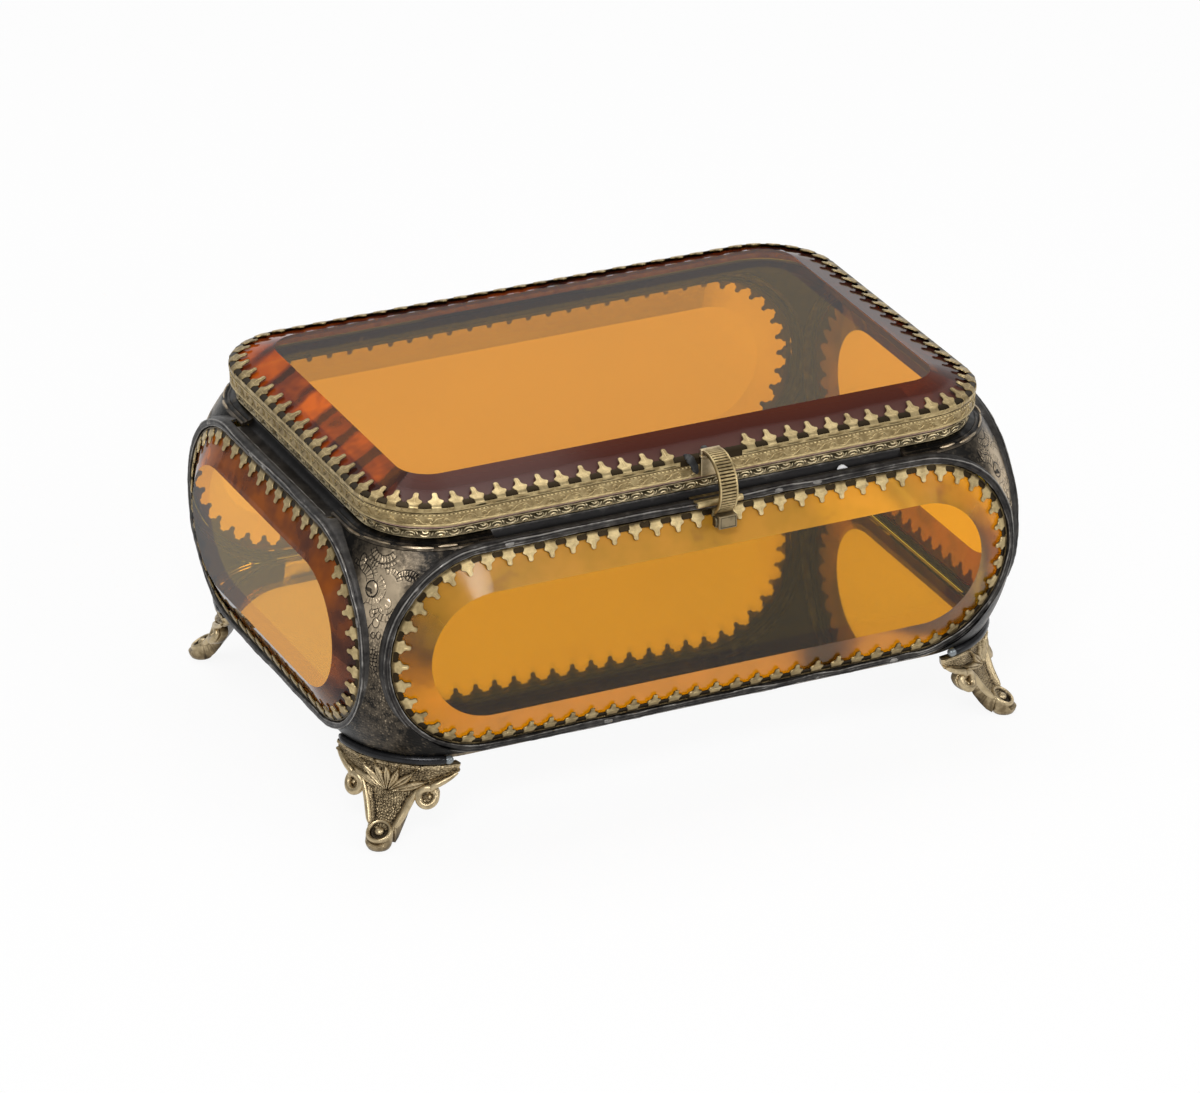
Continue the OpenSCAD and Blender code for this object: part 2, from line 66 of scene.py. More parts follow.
# the corner sheets swell out from the rim: two falls from one arc's widest place
SHEET_LOW, SHEET_HIGH = 20.95, 69.3
SWELL_OUT, SWELL_TOP, SWELL_LOW = 11.3, 3.1, 5.3
FALL_TOP, FALL_LOW = SWELL_OUT - SWELL_TOP, SWELL_OUT - SWELL_LOW
SHARE = math.sqrt(FALL_LOW) / (math.sqrt(FALL_LOW) + math.sqrt(FALL_TOP))
SWELL_MID = SHEET_LOW + (SHEET_HIGH - SHEET_LOW) * SHARE
SWELL_R = ((SHEET_HIGH - SWELL_MID) ** 2 + FALL_TOP ** 2) / (2 * FALL_TOP)


def corner_radius(z):
    """Outer radius of a corner sheet at height z."""
    return RIM[2] + SWELL_OUT - SWELL_R + math.sqrt(SWELL_R ** 2 - (z - SWELL_MID) ** 2)


FOOT_RHO = corner_radius(SHEET_LOW)
BEAD_Z = 19.65
rng = random.Random(11)


# ---- small tools ----

def clamp(x):
    return min(max(x, 0), 1)


def polar(deg, r=1.0):
    t = math.radians(deg)
    return r * math.cos(t), r * math.sin(t)


def bell(x, middle, width):
    return np.exp(-((x - middle) / width) ** 2)


def smooth_noise(seed, period, n, amp):
    """A closed run of n values that wander smoothly."""
    k = max(4, int(n / period))
    knots = np.random.RandomState(seed).uniform(-1, 1, k)
    x = np.arange(n) * k / n
    i = np.floor(x).astype(int)
    f = x - i
    f = f * f * (3 - 2 * f)
    return amp * (knots[i % k] * (1 - f) + knots[(i + 1) % k] * f)


class Build:
    """Gathers shapes into one mesh. Each point has a number for its finish: above 0 it is rubbed bright, below 0
    it is dark; on some pieces that number also holds painted shade or a painted highlight."""

    def __init__(self):
        self.v, self.f, self.a = [], [], []

    def add(self, verts, faces, wear_and_painted_light):
        n = len(self.v)
        self.v += [tuple(p) for p in verts]
        self.f += [tuple(i + n for i in f) for f in faces]
        self.a += list(wear_and_painted_light)

    def grid(self, pts, closed_u=False, closed_v=False, wear_and_painted_light=0.0, caps=False):
        """A net of rows by columns, joined round where it is closed; caps fill its end rows. A point's finish,
        wear or painted light, is the one number given, or else the fourth of its own numbers."""
        pts = np.asarray(pts, float)
        r, c, size = pts.shape
        faces = []
        for i in range(r if closed_u else r - 1):
            for j in range(c if closed_v else c - 1):
                i2, j2 = (i + 1) % r, (j + 1) % c
                faces.append((i * c + j, i * c + j2, i2 * c + j2, i2 * c + j))
        if caps:
            faces += [range(c), range(r * c - 1, r * c - c - 1, -1)]
        wear_and_painted_light = pts[..., 3] if size == 4 else np.broadcast_to(wear_and_painted_light, (r, c))
        self.add(pts[..., :3].reshape(-1, 3), faces, wear_and_painted_light.ravel())

    def tube(self, path, radii, sides=6, wear_and_painted_light=0.0, up=(0, 0, 1), flat=1.0):
        """A tube with closed ends; flat is its thickness along up as a share of its width."""
        path = np.asarray(path, float)
        ang = np.arange(sides)[:, None] * 2 * np.pi / sides
        rows = []
        for i, (p, r) in enumerate(zip(path, radii)):
            t = path[min(i + 1, len(path) - 1)] - path[max(i - 1, 0)]
            t = t / (np.linalg.norm(t) + 1e-12)
            u = np.asarray(up, float) - np.dot(up, t) * t
            if np.linalg.norm(u) < 1e-6:
                u = np.cross(t, (1, 0, 0.3))
            u /= np.linalg.norm(u)
            rows.append(p + r * (np.cos(ang) * np.cross(t, u) + flat * np.sin(ang) * u))
        self.grid(rows, closed_v=True, wear_and_painted_light=wear_and_painted_light, caps=True)

    def block(self, centre, size, r, wear_and_painted_light):
        """A box with rounded edges."""
        bm = bmesh.new()
        bmesh.ops.create_cube(bm, size=2.0)
        for v in bm.verts:
            v.co = [c * side / 2 for c, side in zip(v.co, size)]
        bmesh.ops.bevel(bm, geom=list(bm.edges), offset=r, segments=3, profile=0.5, affect="EDGES")
        bm.verts.index_update()
        self.add([[m + c for m, c in zip(centre, v.co)] for v in bm.verts],
                 [[v.index for v in f.verts] for f in bm.faces], [wear_and_painted_light] * len(bm.verts))
        bm.free()

    def done(self, name, mat, body, nodes=()):
        """Makes the piece; it rides on a body and stands for the CAD nodes given."""
        v = np.array(self.v, float)
        v[:, 1] += MIDDLE_Y
        mesh = bpy.data.meshes.new(name)
        mesh.from_pydata((v / 1000).tolist(), [], self.f)
        layer = mesh.attributes.new("wear_and_painted_light", "FLOAT", "POINT")
        layer.data.foreach_set("value", np.asarray(self.a, np.float32))
        bm = bmesh.new()
        bm.from_mesh(mesh)
        bmesh.ops.recalc_face_normals(bm, faces=bm.faces)
        bm.to_mesh(mesh)
        bm.free()
        mesh.polygons.foreach_set("use_smooth", [True] * len(mesh.polygons))
        mesh.set_sharp_from_angle(angle=math.radians(42))
        mesh.materials.append(mat)
        obj = bpy.data.objects.new(name, mesh)
        bpy.context.scene.collection.objects.link(obj)
        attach(obj, body)
        if nodes:
            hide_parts(*nodes)


# ---- the rounded rectangles of the two rims, and the stadiums of the panes ----

def straights(half):
    """Half lengths of a rounded rectangle's straight sides, and the length of a corner."""
    hx, hy, r = half
    return hx - r, hy - r, math.pi * r / 2


def length_round(half):
    return 4 * sum(straights(half))


def steps_round(half, n_arc=24, step=2.0):
    """Distances round a rounded rectangle, from the middle of its near side."""
    a, b, q = straights(half)
    out, lo = [], 0.0
    for k, run in enumerate((a, q, 2 * b, q, 2 * a, q, 2 * b, q, a)):
        n = n_arc if k % 2 else max(1, round(run / step))
        out += [lo + run * i / n for i in range(n)]
        lo += run
    return out


def edge_at(s, half):
    """Point, tangent and outward normal at distance s, from the middle of the near side."""
    hx, hy, r = half
    a, b, q = straights(half)
    h = 2 * (a + b + q)
    s = s % (2 * h)
    if s >= h:
        return tuple((-x, -y) for x, y in edge_at(s - h, half))
    if s < a:
        return (s, -hy), (1, 0), (0, -1)
    if s < a + q:
        c, d = math.cos((s - a) / r), math.sin((s - a) / r)
        return (a + r * d, -b - r * c), (c, d), (d, -c)
    if s < a + q + 2 * b:
        return (hx, s - a - q - b), (0, 1), (1, 0)
    if s < a + 2 * q + 2 * b:
        t = (s - a - q - 2 * b) / r
        c, d = math.cos(t), math.sin(t)
        return (a + r * c, b + r * d), (-d, c), (c, d)
    return (a - (s - a - 2 * q - 2 * b), hy), (-1, 0), (0, 1)


def stadium_at(s, run, r):
    """The same round a stadium in a pane's plane, from the middle of its lower side."""
    half = run + math.pi * r
    s = s % (2 * half)
    if s >= half:
        return tuple((-u, -v) for u, v in stadium_at(s - half, run, r))
    if s < run / 2:
        return (s, -r), (1, 0), (0, -1)
    if s < run / 2 + math.pi * r:
        t = (s - run / 2) / r
        c, d = math.cos(t), math.sin(t)
        return (run / 2 + r * d, -r * c), (c, d), (d, -c)
    return (run / 2 - (s - run / 2 - math.pi * r), r), (-1, 0), (0, 1)


def pane_length(side, r):
    return 2 * SIDES[side][0] + 2 * math.pi * r


# A pane's plane: the length of its straight sides, and its map into the body's axes
SIDES = {
    "front": (FRONT_RUN, lambda u, v, w: (u, -FRONT_Y - w, PANE_MID + v)),
    "back": (FRONT_RUN, lambda u, v, w: (-u, FRONT_Y + w, PANE_MID + v)),
    "left": (SIDE_RUN, lambda u, v, w: (-SIDE_X - w, -u, PANE_MID + v)),
    "right": (SIDE_RUN, lambda u, v, w: (SIDE_X + w, u, PANE_MID + v)),
}


def rim_spot(s, half):
    """A map of (outward, height) into a point at distance s round a rim."""
    (x, y), _t, (nx, ny) = edge_at(s, half)
    return lambda o, z: (x + nx * o, y + ny * o, z)


def pane_spot(s, side, r):
    """A map of (outward, off the pane) into a point at distance s round a pane."""
    run, at = SIDES[side]
    (u, v), _t, (nu, nv) = stadium_at(s, run, r)
    return lambda o, w: at(u + nu * o, v + nv * o, w)


def carry(build, spots, profile):
    """A closed profile of (outward, height, finish) carried round a closed line of spots."""
    build.grid([[(*spot(o, z), w) for o, z, w in profile] for spot in spots], True, True)


def straighten(edge, s, a, grow):
    """Point and normal at distance a from s: on the curved edge at grow 0, square to s at 1."""
    (x, y), _t, (nx, ny) = edge(s + a)
    (x0, y0), (tx, ty), (n0, m0) = edge(s)
    pairs = ((x, x0 + tx * a), (y, y0 + ty * a), (nx, n0), (ny, m0))
    return [p * (1 - grow) + q * grow for p, q in pairs]


# ---- materials ----

class Value:
    """A number that a material's nodes work out."""

    def __init__(self, tree, socket):
        self.tree, self.socket = tree, socket

    def math(self, op, other=None, limit=False):
        node = self.tree.nodes.new("ShaderNodeMath")
        node.operation, node.use_clamp = op, limit
        for slot, v in zip(node.inputs, (self, other)):
            if isinstance(v, Value):
                self.tree.links.new(v.socket, slot)
            elif v is not None:
                slot.default_value = v
        return Value(self.tree, node.outputs[0])

    def __add__(self, other):
        return self.math("ADD", other)

    def __sub__(self, other):
        return self.math("SUBTRACT", other)

    def __mul__(self, other):
        return self.math("MULTIPLY", other)

    def __truediv__(self, other):
        return self.math("DIVIDE", other)


class Shader:
    """A material round its Principled BSDF."""

    def __init__(self, name):
        self.mat = bpy.data.materials.new(name)
        self.mat.use_nodes = True
        self.tree = self.mat.node_tree
        self.coord = self.node("TexCoord")

    def node(self, kind):
        return self.tree.nodes.new("ShaderNode" + kind)

    def value(self, socket):
        return Value(self.tree, socket)

    def axes(self, name):
        """The three parts of the coordinates of that name."""
        split = self.node("SeparateXYZ")
        self.tree.links.new(self.coord.outputs[name], split.inputs[0])
        return [self.value(s) for s in split.outputs]

    def noise(self, scale, detail=4.0, rough=0.55):
        node = self.node("TexNoise")
        for key, v in (("Scale", scale), ("Detail", detail), ("Roughness", rough)):
            node.inputs[key].default_value = v
        self.tree.links.new(self.coord.outputs["Object"], node.inputs["Vector"])
        return self.value(node.outputs["Fac"])

    def ramp(self, fac, *stops):
        node = self.node("ValToRGB")
        els = node.color_ramp.elements
        while len(els) < len(stops):
            els.new(0.5)
        for e, (pos, col) in zip(els, stops):
            e.position, e.color = pos, (*col, 1)
        self.tree.links.new(fac.socket, node.inputs[0])
        return self.value(node.outputs[0])

    def mix(self, fac, a, b):
        """Colour a, or b where fac is 1."""
        node = self.node("Mix")
        node.data_type = "RGBA"
        for slot, v in ((0, fac), (6, a), (7, b)):
            self.tree.links.new(v.socket, node.inputs[slot])
        return self.value(node.outputs[2])

    def set(self, **values):
        """Sets the shader's sockets, named with _ for a space, to numbers or to what nodes work out."""
        for key, v in values.items():
            slot = self.tree.nodes["Principled BSDF"].inputs[key.replace("_", " ")]
            if isinstance(v, Value):
                self.tree.links.new(v.socket, slot)
            else:
                slot.default_value = v

    def bump(self, height, strength, distance):
        node = self.node("Bump")
        node.inputs["Strength"].default_value = strength
        node.inputs["Distance"].default_value = distance
        self.tree.links.new(height.socket, node.inputs["Height"])
        self.set(Normal=self.value(node.outputs[0]))


def metal(name, dark, mid, bright, rough, base, grain=900.0, depth=0.00004, metallic=0.9,
          mottle=1.1, shine=3.0):
    """Aged metal: patina in the low places, bare metal where the relief stands up or an edge is rubbed."""
    sh = Shader(name)
    # the mesh's finish number: wear, and on some pieces painted shade or a painted highlight
    attribute = sh.node("Attribute")
    attribute.attribute_name = "wear_and_painted_light"
    edge = (sh.value(sh.node("NewGeometry").outputs["Pointiness"]) - 0.5) * shine
    blots = (sh.noise(330.0, 5.0, 0.65) - 0.5) * mottle
    specks = (sh.noise(grain, 6.0) - 0.5) * 0.5
    wear_and_painted_light = sh.value(attribute.outputs["Fac"]) + base + edge + blots + specks
    wear_and_painted_light = wear_and_painted_light.math("MINIMUM", 1.0).math("MAXIMUM", 0.0)
    sh.set(Base_Color=sh.ramp(wear_and_painted_light, (0.08, dark), (0.5, mid), (0.95, bright)), Metallic=metallic,
           Roughness=sh.noise(420.0) * 0.25 + (rough - 0.12))
    sh.bump(sh.noise(grain * 1.6, 5.0), 0.6, depth)
    return sh.mat


# In metres: the heights that the lid's glass spans, and the smoky bars in the left of its bevel
lid_heights = [v.co.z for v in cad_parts["lid_glass"].data.vertices]
LID_LOW, LID_HIGH = min(lid_heights), max(lid_heights)
BAR_STEP, BAR_Y, BAR_X, BAR_SLANT = 0.0118, 0.038, 0.0653, 0.36


def lid_bars(sh, leftward):
    """How much darker the lid's left bevel is: slanting smoky bars, and a fall towards the front."""
    x, y, _z = sh.axes("Object")
    along = y - (x + BAR_X) * BAR_SLANT + sh.noise(90.0, 2.0) * 0.002
    wave = ((along - BAR_Y) * (2 * math.pi / BAR_STEP)).math("COSINE")
    return leftward * ((wave - 0.3).math("MAXIMUM", 0.0) * 0.34 + (y * -3.4 + 0.15))


def lid_smoke(sh, bands, frontward):
    """Along the front the lid's bevel has a smoky outer band and a dark red inner one."""
    z = sh.axes("Object")[2]
    up = (z - LID_LOW) / (LID_HIGH - LID_LOW) + sh.noise(60.0, 2.0) * 0.12
    smoke = sh.ramp(up, (0.40, (0.155, 0.070, 0.055)), (0.66, (0.120, 0.045, 0.036)),
                    (0.74, (0.085, 0.014, 0.006)), (1.0, (0.11, 0.02, 0.006)))
    return sh.mix(frontward, bands, smoke)


def glass(name, tint, streak=0.95, axis=None, deep=None, body=0.0, ior=1.45, lift=0.0, lid=False, haze=0.0):
    """Coloured glass, with a faint unevenness in its colour and polish. Where the face leans away
    from its axis, in the bevel, the way through it is long: there the colour is deep, and a milky
    share stays in the glass: body everywhere, and up to lift more where it faces up."""
    sh = Shader(name)
    colour = sh.ramp(sh.noise(14.0, 2.0), (0.3, tuple(c * streak for c in tint)), (0.7, tint))
    rough = sh.noise(60.0, 3.0) * (0.012 + haze)
    clear = 1.0
    if deep:
        normal = sh.axes("Normal")
        lean = normal[axis].math("ABSOLUTE") - 0.91
        bevel = lean.math("ABSOLUTE").math("LESS_THAN", 0.05)
        # noise clouds, plus painted light: the bevel is painted brightest on the lid's left and along a pane's
        # top, as if lit from there
        if axis == 1:
            lit = normal[2].math("ABSOLUTE") * 0.62 - 0.13
        else:
            lit = normal[0] * -0.6 if axis == 2 else normal[2] * 0.45
        cloud_and_painted_light = sh.noise(75.0, 3.0, 0.6) + lit
        if lid:
            cloud_and_painted_light = cloud_and_painted_light - lid_bars(sh, (normal[0] * -1.0).math("GREATER_THAN", 0.2))
        bands = sh.ramp(cloud_and_painted_light, *zip((0.36, 0.52, 0.74), deep))
        if lid:
            bands = lid_smoke(sh, bands, (normal[1] * -1.0).math("GREATER_THAN", 0.2))
        colour = sh.mix(bevel, colour, bands)
        milk = normal[2].math("MAXIMUM", 0.0) * lift + body
        clear = bevel * milk * -1.0 + 1.0
        rough = rough + bevel * (5.0 * haze)
    sh.set(Base_Color=colour, IOR=ior, Specular_IOR_Level=0.2, Roughness=rough, Transmission_Weight=clear)
    sh.bump(sh.noise(22.0, 1.0), 0.1, 0.0002)
    return sh.mat


def mirror(name):
    """Old mirror plate: bright, with a little haze and tarnish creeping in."""
    sh = Shader(name)
    spots = sh.noise(240.0, 6.0, 0.7).math("POWER", 3.0)
    sh.set(Base_Color=sh.ramp(spots, (0.30, (0.90, 0.90, 0.88)), (0.55, (0.55, 0.50, 0.42))),
           Metallic=1.0, Roughness=sh.noise(90.0, 4.0) * 0.03)
    sh.bump(sh.noise(60.0, 2.0), 0.05, 0.0002)
    return sh.mat


BRASS = metal("aged_brass", (0.030, 0.020, 0.009), (0.275, 0.200, 0.092), (0.72, 0.57, 0.30), 0.39,
              0.51, mottle=0.6, shine=0.8)
ANTIQUE = metal("antique_brass", (0.040, 0.029, 0.017), (0.205, 0.152, 0.084), (0.54, 0.43, 0.26), 0.38, 0.40)
PATINA = metal("dark_patina", (0.010, 0.009, 0.008), (0.130, 0.104, 0.074), (0.60, 0.48, 0.33), 0.36,
               0.34, mottle=0.7, shine=2.0)
DULL = metal("dull_brass", (0.025, 0.020, 0.013), (0.085, 0.068, 0.040), (0.28, 0.22, 0.13), 0.48,
             0.42, mottle=0.8)
RIMMED = metal("rubbed_rim", (0.018, 0.015, 0.012), (0.190, 0.150, 0.085), (0.70, 0.58, 0.36), 0.36,
               0.38, mottle=0.7)
SOLDER = metal("black_solder", (0.010, 0.009, 0.009), (0.058, 0.053, 0.048), (0.30, 0.285, 0.265), 0.42,
               0.32, 260.0, 0.00012, 0.75)
GLOSSY = metal("drawn_solder", (0.008, 0.008, 0.009), (0.022, 0.022, 0.024), (0.22, 0.24, 0.25), 0.24,
               0.32, 200.0, 0.00005, 0.6)
LEAD = metal("grey_solder", (0.010, 0.010, 0.010), (0.026, 0.026, 0.027), (0.095, 0.095, 0.092), 0.6,
             0.45, 220.0, 0.0001, 0.8)
LEDGE = metal("tarnished_ledge", (0.10, 0.06, 0.05), (0.42, 0.24, 0.20), (0.62, 0.42, 0.34), 0.5,
              0.4, 240.0, metallic=0.4)
CHALK = metal("old_filler", (0.25, 0.24, 0.23), (0.58, 0.57, 0.56), (0.80, 0.80, 0.80), 0.6,
              0.5, 300.0, metallic=0.0)

PANE_TINT = (0.95, 0.59, 0.03)
LID_AMBER = glass("lid_amber", (0.80, 0.47, 0.02), axis=2, body=0.62, ior=1.25, lid=True, haze=0.014,
                  deep=((0.060, 0.020, 0.014), (0.24, 0.042, 0.014), (0.66, 0.115, 0.010)))
SIDE_AMBER = glass("side_amber", (0.97, 0.61, 0.03), axis=0, body=0.5, ior=1.24,
                   deep=((0.055, 0.022, 0.018), (0.17, 0.055, 0.030), (0.50, 0.13, 0.02)))
AMBER = glass("amber_glass", PANE_TINT, axis=1, body=0.05, ior=1.38, lift=1.05, haze=0.03,
              deep=((0.38, 0.17, 0.05), (0.74, 0.36, 0.04), (0.92, 0.42, 0.05)))
BACK_AMBER = glass("back_amber", PANE_TINT, axis=1, ior=1.38, lift=0.3,
                   deep=((0.80, 0.46, 0.03), (0.88, 0.53, 0.03), (0.95, 0.58, 0.03)))
CLEAR = glass("clear_plate", (0.93, 0.95, 0.93), 0.98)
MIRROR = mirror("silvered_plate")


# ---- the pierced galleries ----
# One cell is a prong and its dark holes: half its outline, from the middle of the hole's cusp
# round to the finger's tip

LID_CELL = [
    (-2.5, 0.0), (-2.5, 1.1), (-2.34, 0.76), (-2.08, 0.46), (-1.72, 0.34), (-1.36, 0.5), (-1.14, 0.92),
    (-1.08, 1.45), (-1.18, 1.9), (-1.45, 2.2), (-1.72, 2.55), (-1.76, 2.9), (-1.55, 3.15), (-1.15, 3.34),
    (-0.82, 3.65), (-0.66, 4.1), (-0.66, 4.8), (-0.48, 5.3), (0.0, 5.45)]
PANE_CELL = [
    (-2.5, 0.0), (-2.5, 0.3), (-2.2, 0.12), (-1.8, 0.1), (-1.5, 0.24), (-1.3, 0.5), (-1.26, 0.82),
    (-1.34, 1.12), (-1.54, 1.4), (-1.66, 1.7), (-1.6, 1.95), (-1.3, 2.14), (-0.95, 2.3), (-0.72, 2.52),
    (-0.6, 2.86), (-0.6, 3.36), (-0.44, 3.7), (0.0, 3.84)]
WIDEST = 9                # the point of both outlines where the side arms are


def prong(build, place, pitch, cell, thick, wear_and_painted_light, root=0.0):
    """One cell of a strip; place(a, h, o) turns along, up the prong and out of its face into a point."""
    half = [(x * pitch / PITCH, y) for x, y in cell]
    base = half + [(-x, y) for x, y in reversed(half[:-1])]
    n = len(base)
    dx, dh = rng.uniform(-0.07, 0.07), rng.uniform(-0.07, 0.07)
    lean = rng.uniform(-0.05, 0.05)
    edge_x = pitch / 2 - 1e-6
    pts = []
    for x, y in base:
        grow = 0.0 if abs(x) > edge_x or y < 0.05 else clamp(y - 0.25)
        pts.append((x + (dx + lean * y) * grow, y + dh * grow))
    # the face is drawn in from the outline along its normals
    inset = []
    for i, (x, y) in enumerate(pts):
        if abs(x) > edge_x:
            inset.append((x, max(y - 0.12, 0.0)))
            continue
        (x0, y0), (x1, y1) = pts[i - 1], pts[(i + 1) % n]
        tx, ty = x1 - x0, y1 - y0
        m = math.hypot(tx, ty) + 1e-9
        inset.append((x + ty / m * 0.1, y - tx / m * 0.1))
    v, w = [], []
    for ring, o, wear in ((pts, 0.0, -0.35), (pts, thick * 0.5, 0.1), (inset, thick, 0.16)):
        for x, y in ring:
            v.append(place(x, max(y, 0.0), o))
            w.append(wear_and_painted_light + wear + root * clamp((0.7 - y) / 0.4))
    faces = []
    for a in (*range(n - 1), *range(n, 2 * n - 1)):
        faces.append((a, a + 1, a + 1 + n, a + n))
    for first in (0, 2 * n):
        for i in range(n // 2):
            a, b, c, d = first + i, first + i + 1, first + n - 1 - i, first + n - 2 - i
            faces.append((a, b, c) if b == d else (a, b, d, c))
    build.add(v, faces, w)
    # a shallow cast swelling up the finger, and one across the side arms
    cx, mid, top = dx * 0.8, half[WIDEST][1], half[-1][1]
    for line, radii in (
            ([(0, mid + 0.5), (0, (mid + top) / 2 + 0.2), (0, top - 0.35)], [0.04, 0.07, 0.05]),
            ([(-1.3, mid), (-0.6, mid - 0.08), (0, mid + 0.1), (0.6, mid - 0.08), (1.3, mid)],
             [0.03, 0.06, 0.07, 0.06, 0.03])):
        build.tube([place(cx + x, y, thick - 0.02) for x, y in line], radii, wear_and_painted_light=wear_and_painted_light + 0.24)


def bend(h, o=0.0):
    """Outward and height of a point h up the lid's strip and o off its face: up the band, round a
    bend, and in over the glass."""
    rise, r, turn = 0.85, 0.42, math.pi / 2 - LID_TILT
    s = max(h - rise, 0)
    q = min(s / r, turn)
    rest = max(s - turn * r, 0)
    c, d = math.cos(q), math.sin(q)
    return (-0.1 - r * (1 - c) - rest * math.cos(LID_TILT) + o * c,
            77.45 + h - s + r * d + rest * math.sin(LID_TILT) + o * d)


def lid_bead(b, s):
    """One bead of the line under the band's turned edge."""
    (x, y), (tx, ty), (nx, ny) = edge_at(s, LID)
    size, z = 0.25 * rng.uniform(0.9, 1.05), 76.78
    verts = []
    for o, wide, tall in ((-0.14, 0.42, size), (0.06, 0.26, size * 0.6)):
        for k in range(6):
            c, d = polar(60 * k)
            verts.append((x + nx * o + tx * c * wide, y + ny * o + ty * c * wide, z + d * tall))
    verts.append((x + nx * 0.14, y + ny * 0.14, z))
    faces = [(k, (k + 1) % 6, 6 + (k + 1) % 6, 6 + k) for k in range(6)]
    faces += [(6 + k, 6 + (k + 1) % 6, 12) for k in range(6)]
    b.add(verts, faces, [-0.05] * 6 + [0.25] * 6 + [0.5])


def lid_scroll(b, s, flip):
    """A C curl of the band's running scroll, and its leaf."""
    jit = rng.uniform(-0.06, 0.06)

    def at(u, v, w):
        return rim_spot(s + u, LID)(w - 0.2, 75.42 + v * flip)

    curl = []
    for k in range(9):
        t, r = 2.4 - 0.2 * math.pi * k, 0.74 - 0.07215 * k
        curl.append(at(jit - 0.45 + r * math.cos(t), 0.05 + r * math.sin(t), 0.03))
    b.tube(curl, [0.12, 0.16, 0.18, 0.18, 0.17, 0.16, 0.15, 0.14, 0.16], wear_and_painted_light=0.1)
    leaf = [(-1.5, -0.55), (-0.7, -0.72), (0.15, -0.35), (0.95, 0.45), (1.5, 0.5)]
    b.tube([at(u, v, 0.02) for u, v in leaf], [0.08, 0.17, 0.2, 0.16, 0.07], wear_and_painted_light=0.08)


def lid_gallery():
    b = Build()
    # the band: a thin rim that turns in over its rounded top edge
    carry(b, [rim_spot(s, LID) for s in steps_round(LID)], [
        (-0.9, 74.1, -0.5), (-0.9, 77.0, -0.5), (-0.8, 77.3, -0.5), (-0.5, 77.46, -0.4), (-0.16, 77.52, 0.0),
        (-0.08, 77.42, 0.15), (-0.08, 77.05, 0.15), (-0.12, 76.98, 0.05), (-0.16, 76.78, -0.05),
        (-0.12, 76.58, 0.05), (-0.14, 76.4, 0.1), (-0.16, 76.3, 0.04), (-0.18, 74.62, 0.02), (-0.1, 74.5, 0.12),
        (-0.02, 74.36, 0.2), (0.0, 74.12, 0.1), (-0.1, 74.0, -0.1), (-0.8, 74.0, -0.2)])
    total = length_round(LID)
    count = round(total / 0.95)
    for i in range(count):
        lid_bead(b, (i + 0.5) * total / count)
    count = round(total / 3.1)
    for i in range(count):
        lid_scroll(b, (i + 0.5) * total / count, 1 if i % 2 else -1)
    # a dark sheet behind the pierced holes: painted shade, so that the holes read dark
    carry(b, [rim_spot(i * total / 300, LID) for i in range(300)], [(*bend(h, o), -0.75) for h, o in (
        (-0.3, 0.05), (0.3, 0.08), (0.7, 0.12), (1.1, 0.16), (1.7, 0.18), (2.4, 0.17), (2.4, -0.03),
        (1.1, -0.03), (0.3, -0.03), (-0.3, -0.03))])
    count = round(total / PITCH)
    for i in range(count):
        s = (i + 0.5) * total / count
        if not CLASP_X + 5.1 <= s <= total + CLASP_X - 5.1:
            continue      # the clasp's plate is here

        def place(a, h, o, s=s):
            x, y, nx, ny = straighten(lambda q: edge_at(q, LID), s, a, clamp((h - 0.4) / 1.4))
            k, z = bend(h, o)
            return x + nx * k, y + ny * k, z
        prong(b, place, total / count, LID_CELL, 0.3, -0.06)
    b.done("lid_gallery_cast", BRASS, "lid", ["lid_gallery"])


def spots_round(side, r, step):
    total = pane_length(side, r)
    n = round(total / step)
    return [pane_spot(i * total / n, side, r) for i in range(n)]


def tilted(h, o, start=0.0):
    """Outward and depth of a point h up a pane's strip and o off its face."""
    c, d = math.cos(PANE_TILT), math.sin(PANE_TILT)
    return o * d - h * c - start, 0.2 + h * d + o * c


def pane_gallery(side):
    run, at = SIDES[side]
    b = Build()
    spots = spots_round(side, STRIP_OUT, 1.2)
    carry(b, spots, [
        (0.0, -1.5, -0.6), (0.0, 0.25, -0.5), (-0.06, 0.48, -0.35), (-0.2, 0.58, -0.3), (-0.36, 0.55, -0.35),
        (-0.46, 0.42, -0.45), (-0.48, 0.2, -0.6), (-0.48, -1.5, -0.6)])
    # a dark sheet behind the pierced holes: painted shade, so that the holes read dark
    carry(b, spots, [(*tilted(h, o, 0.3), -0.75) for h, o in (
        (-0.2, 0.05), (0.6, 0.14), (1.4, 0.14), (1.4, -0.04), (-0.2, -0.04))])
    reach = STRIP_OUT - 0.3
    total = pane_length(side, reach)
    count = round(total / PITCH)

    def edge(s):
        return stadium_at(s, run, reach)

    for i in range(count):
        s = (i + 0.5) * total / count

        def place(a, h, o, s=s):
            u, v, nu, nv = straighten(edge, s, a, clamp(h))
            k, w = tilted(h, o)
            return at(u + nu * k, v + nv * k, w)
        # painted shade: the lower prongs face the floor and are painted darker, as if in shade
        low = edge(s)[0][1] <= -10
        prong(b, place, total / count, PANE_CELL, 0.36, -0.2 if low else -0.04, root=-0.5)
    b.done("gallery_cast_" + side, BRASS, "casket", ["gallery_" + side])


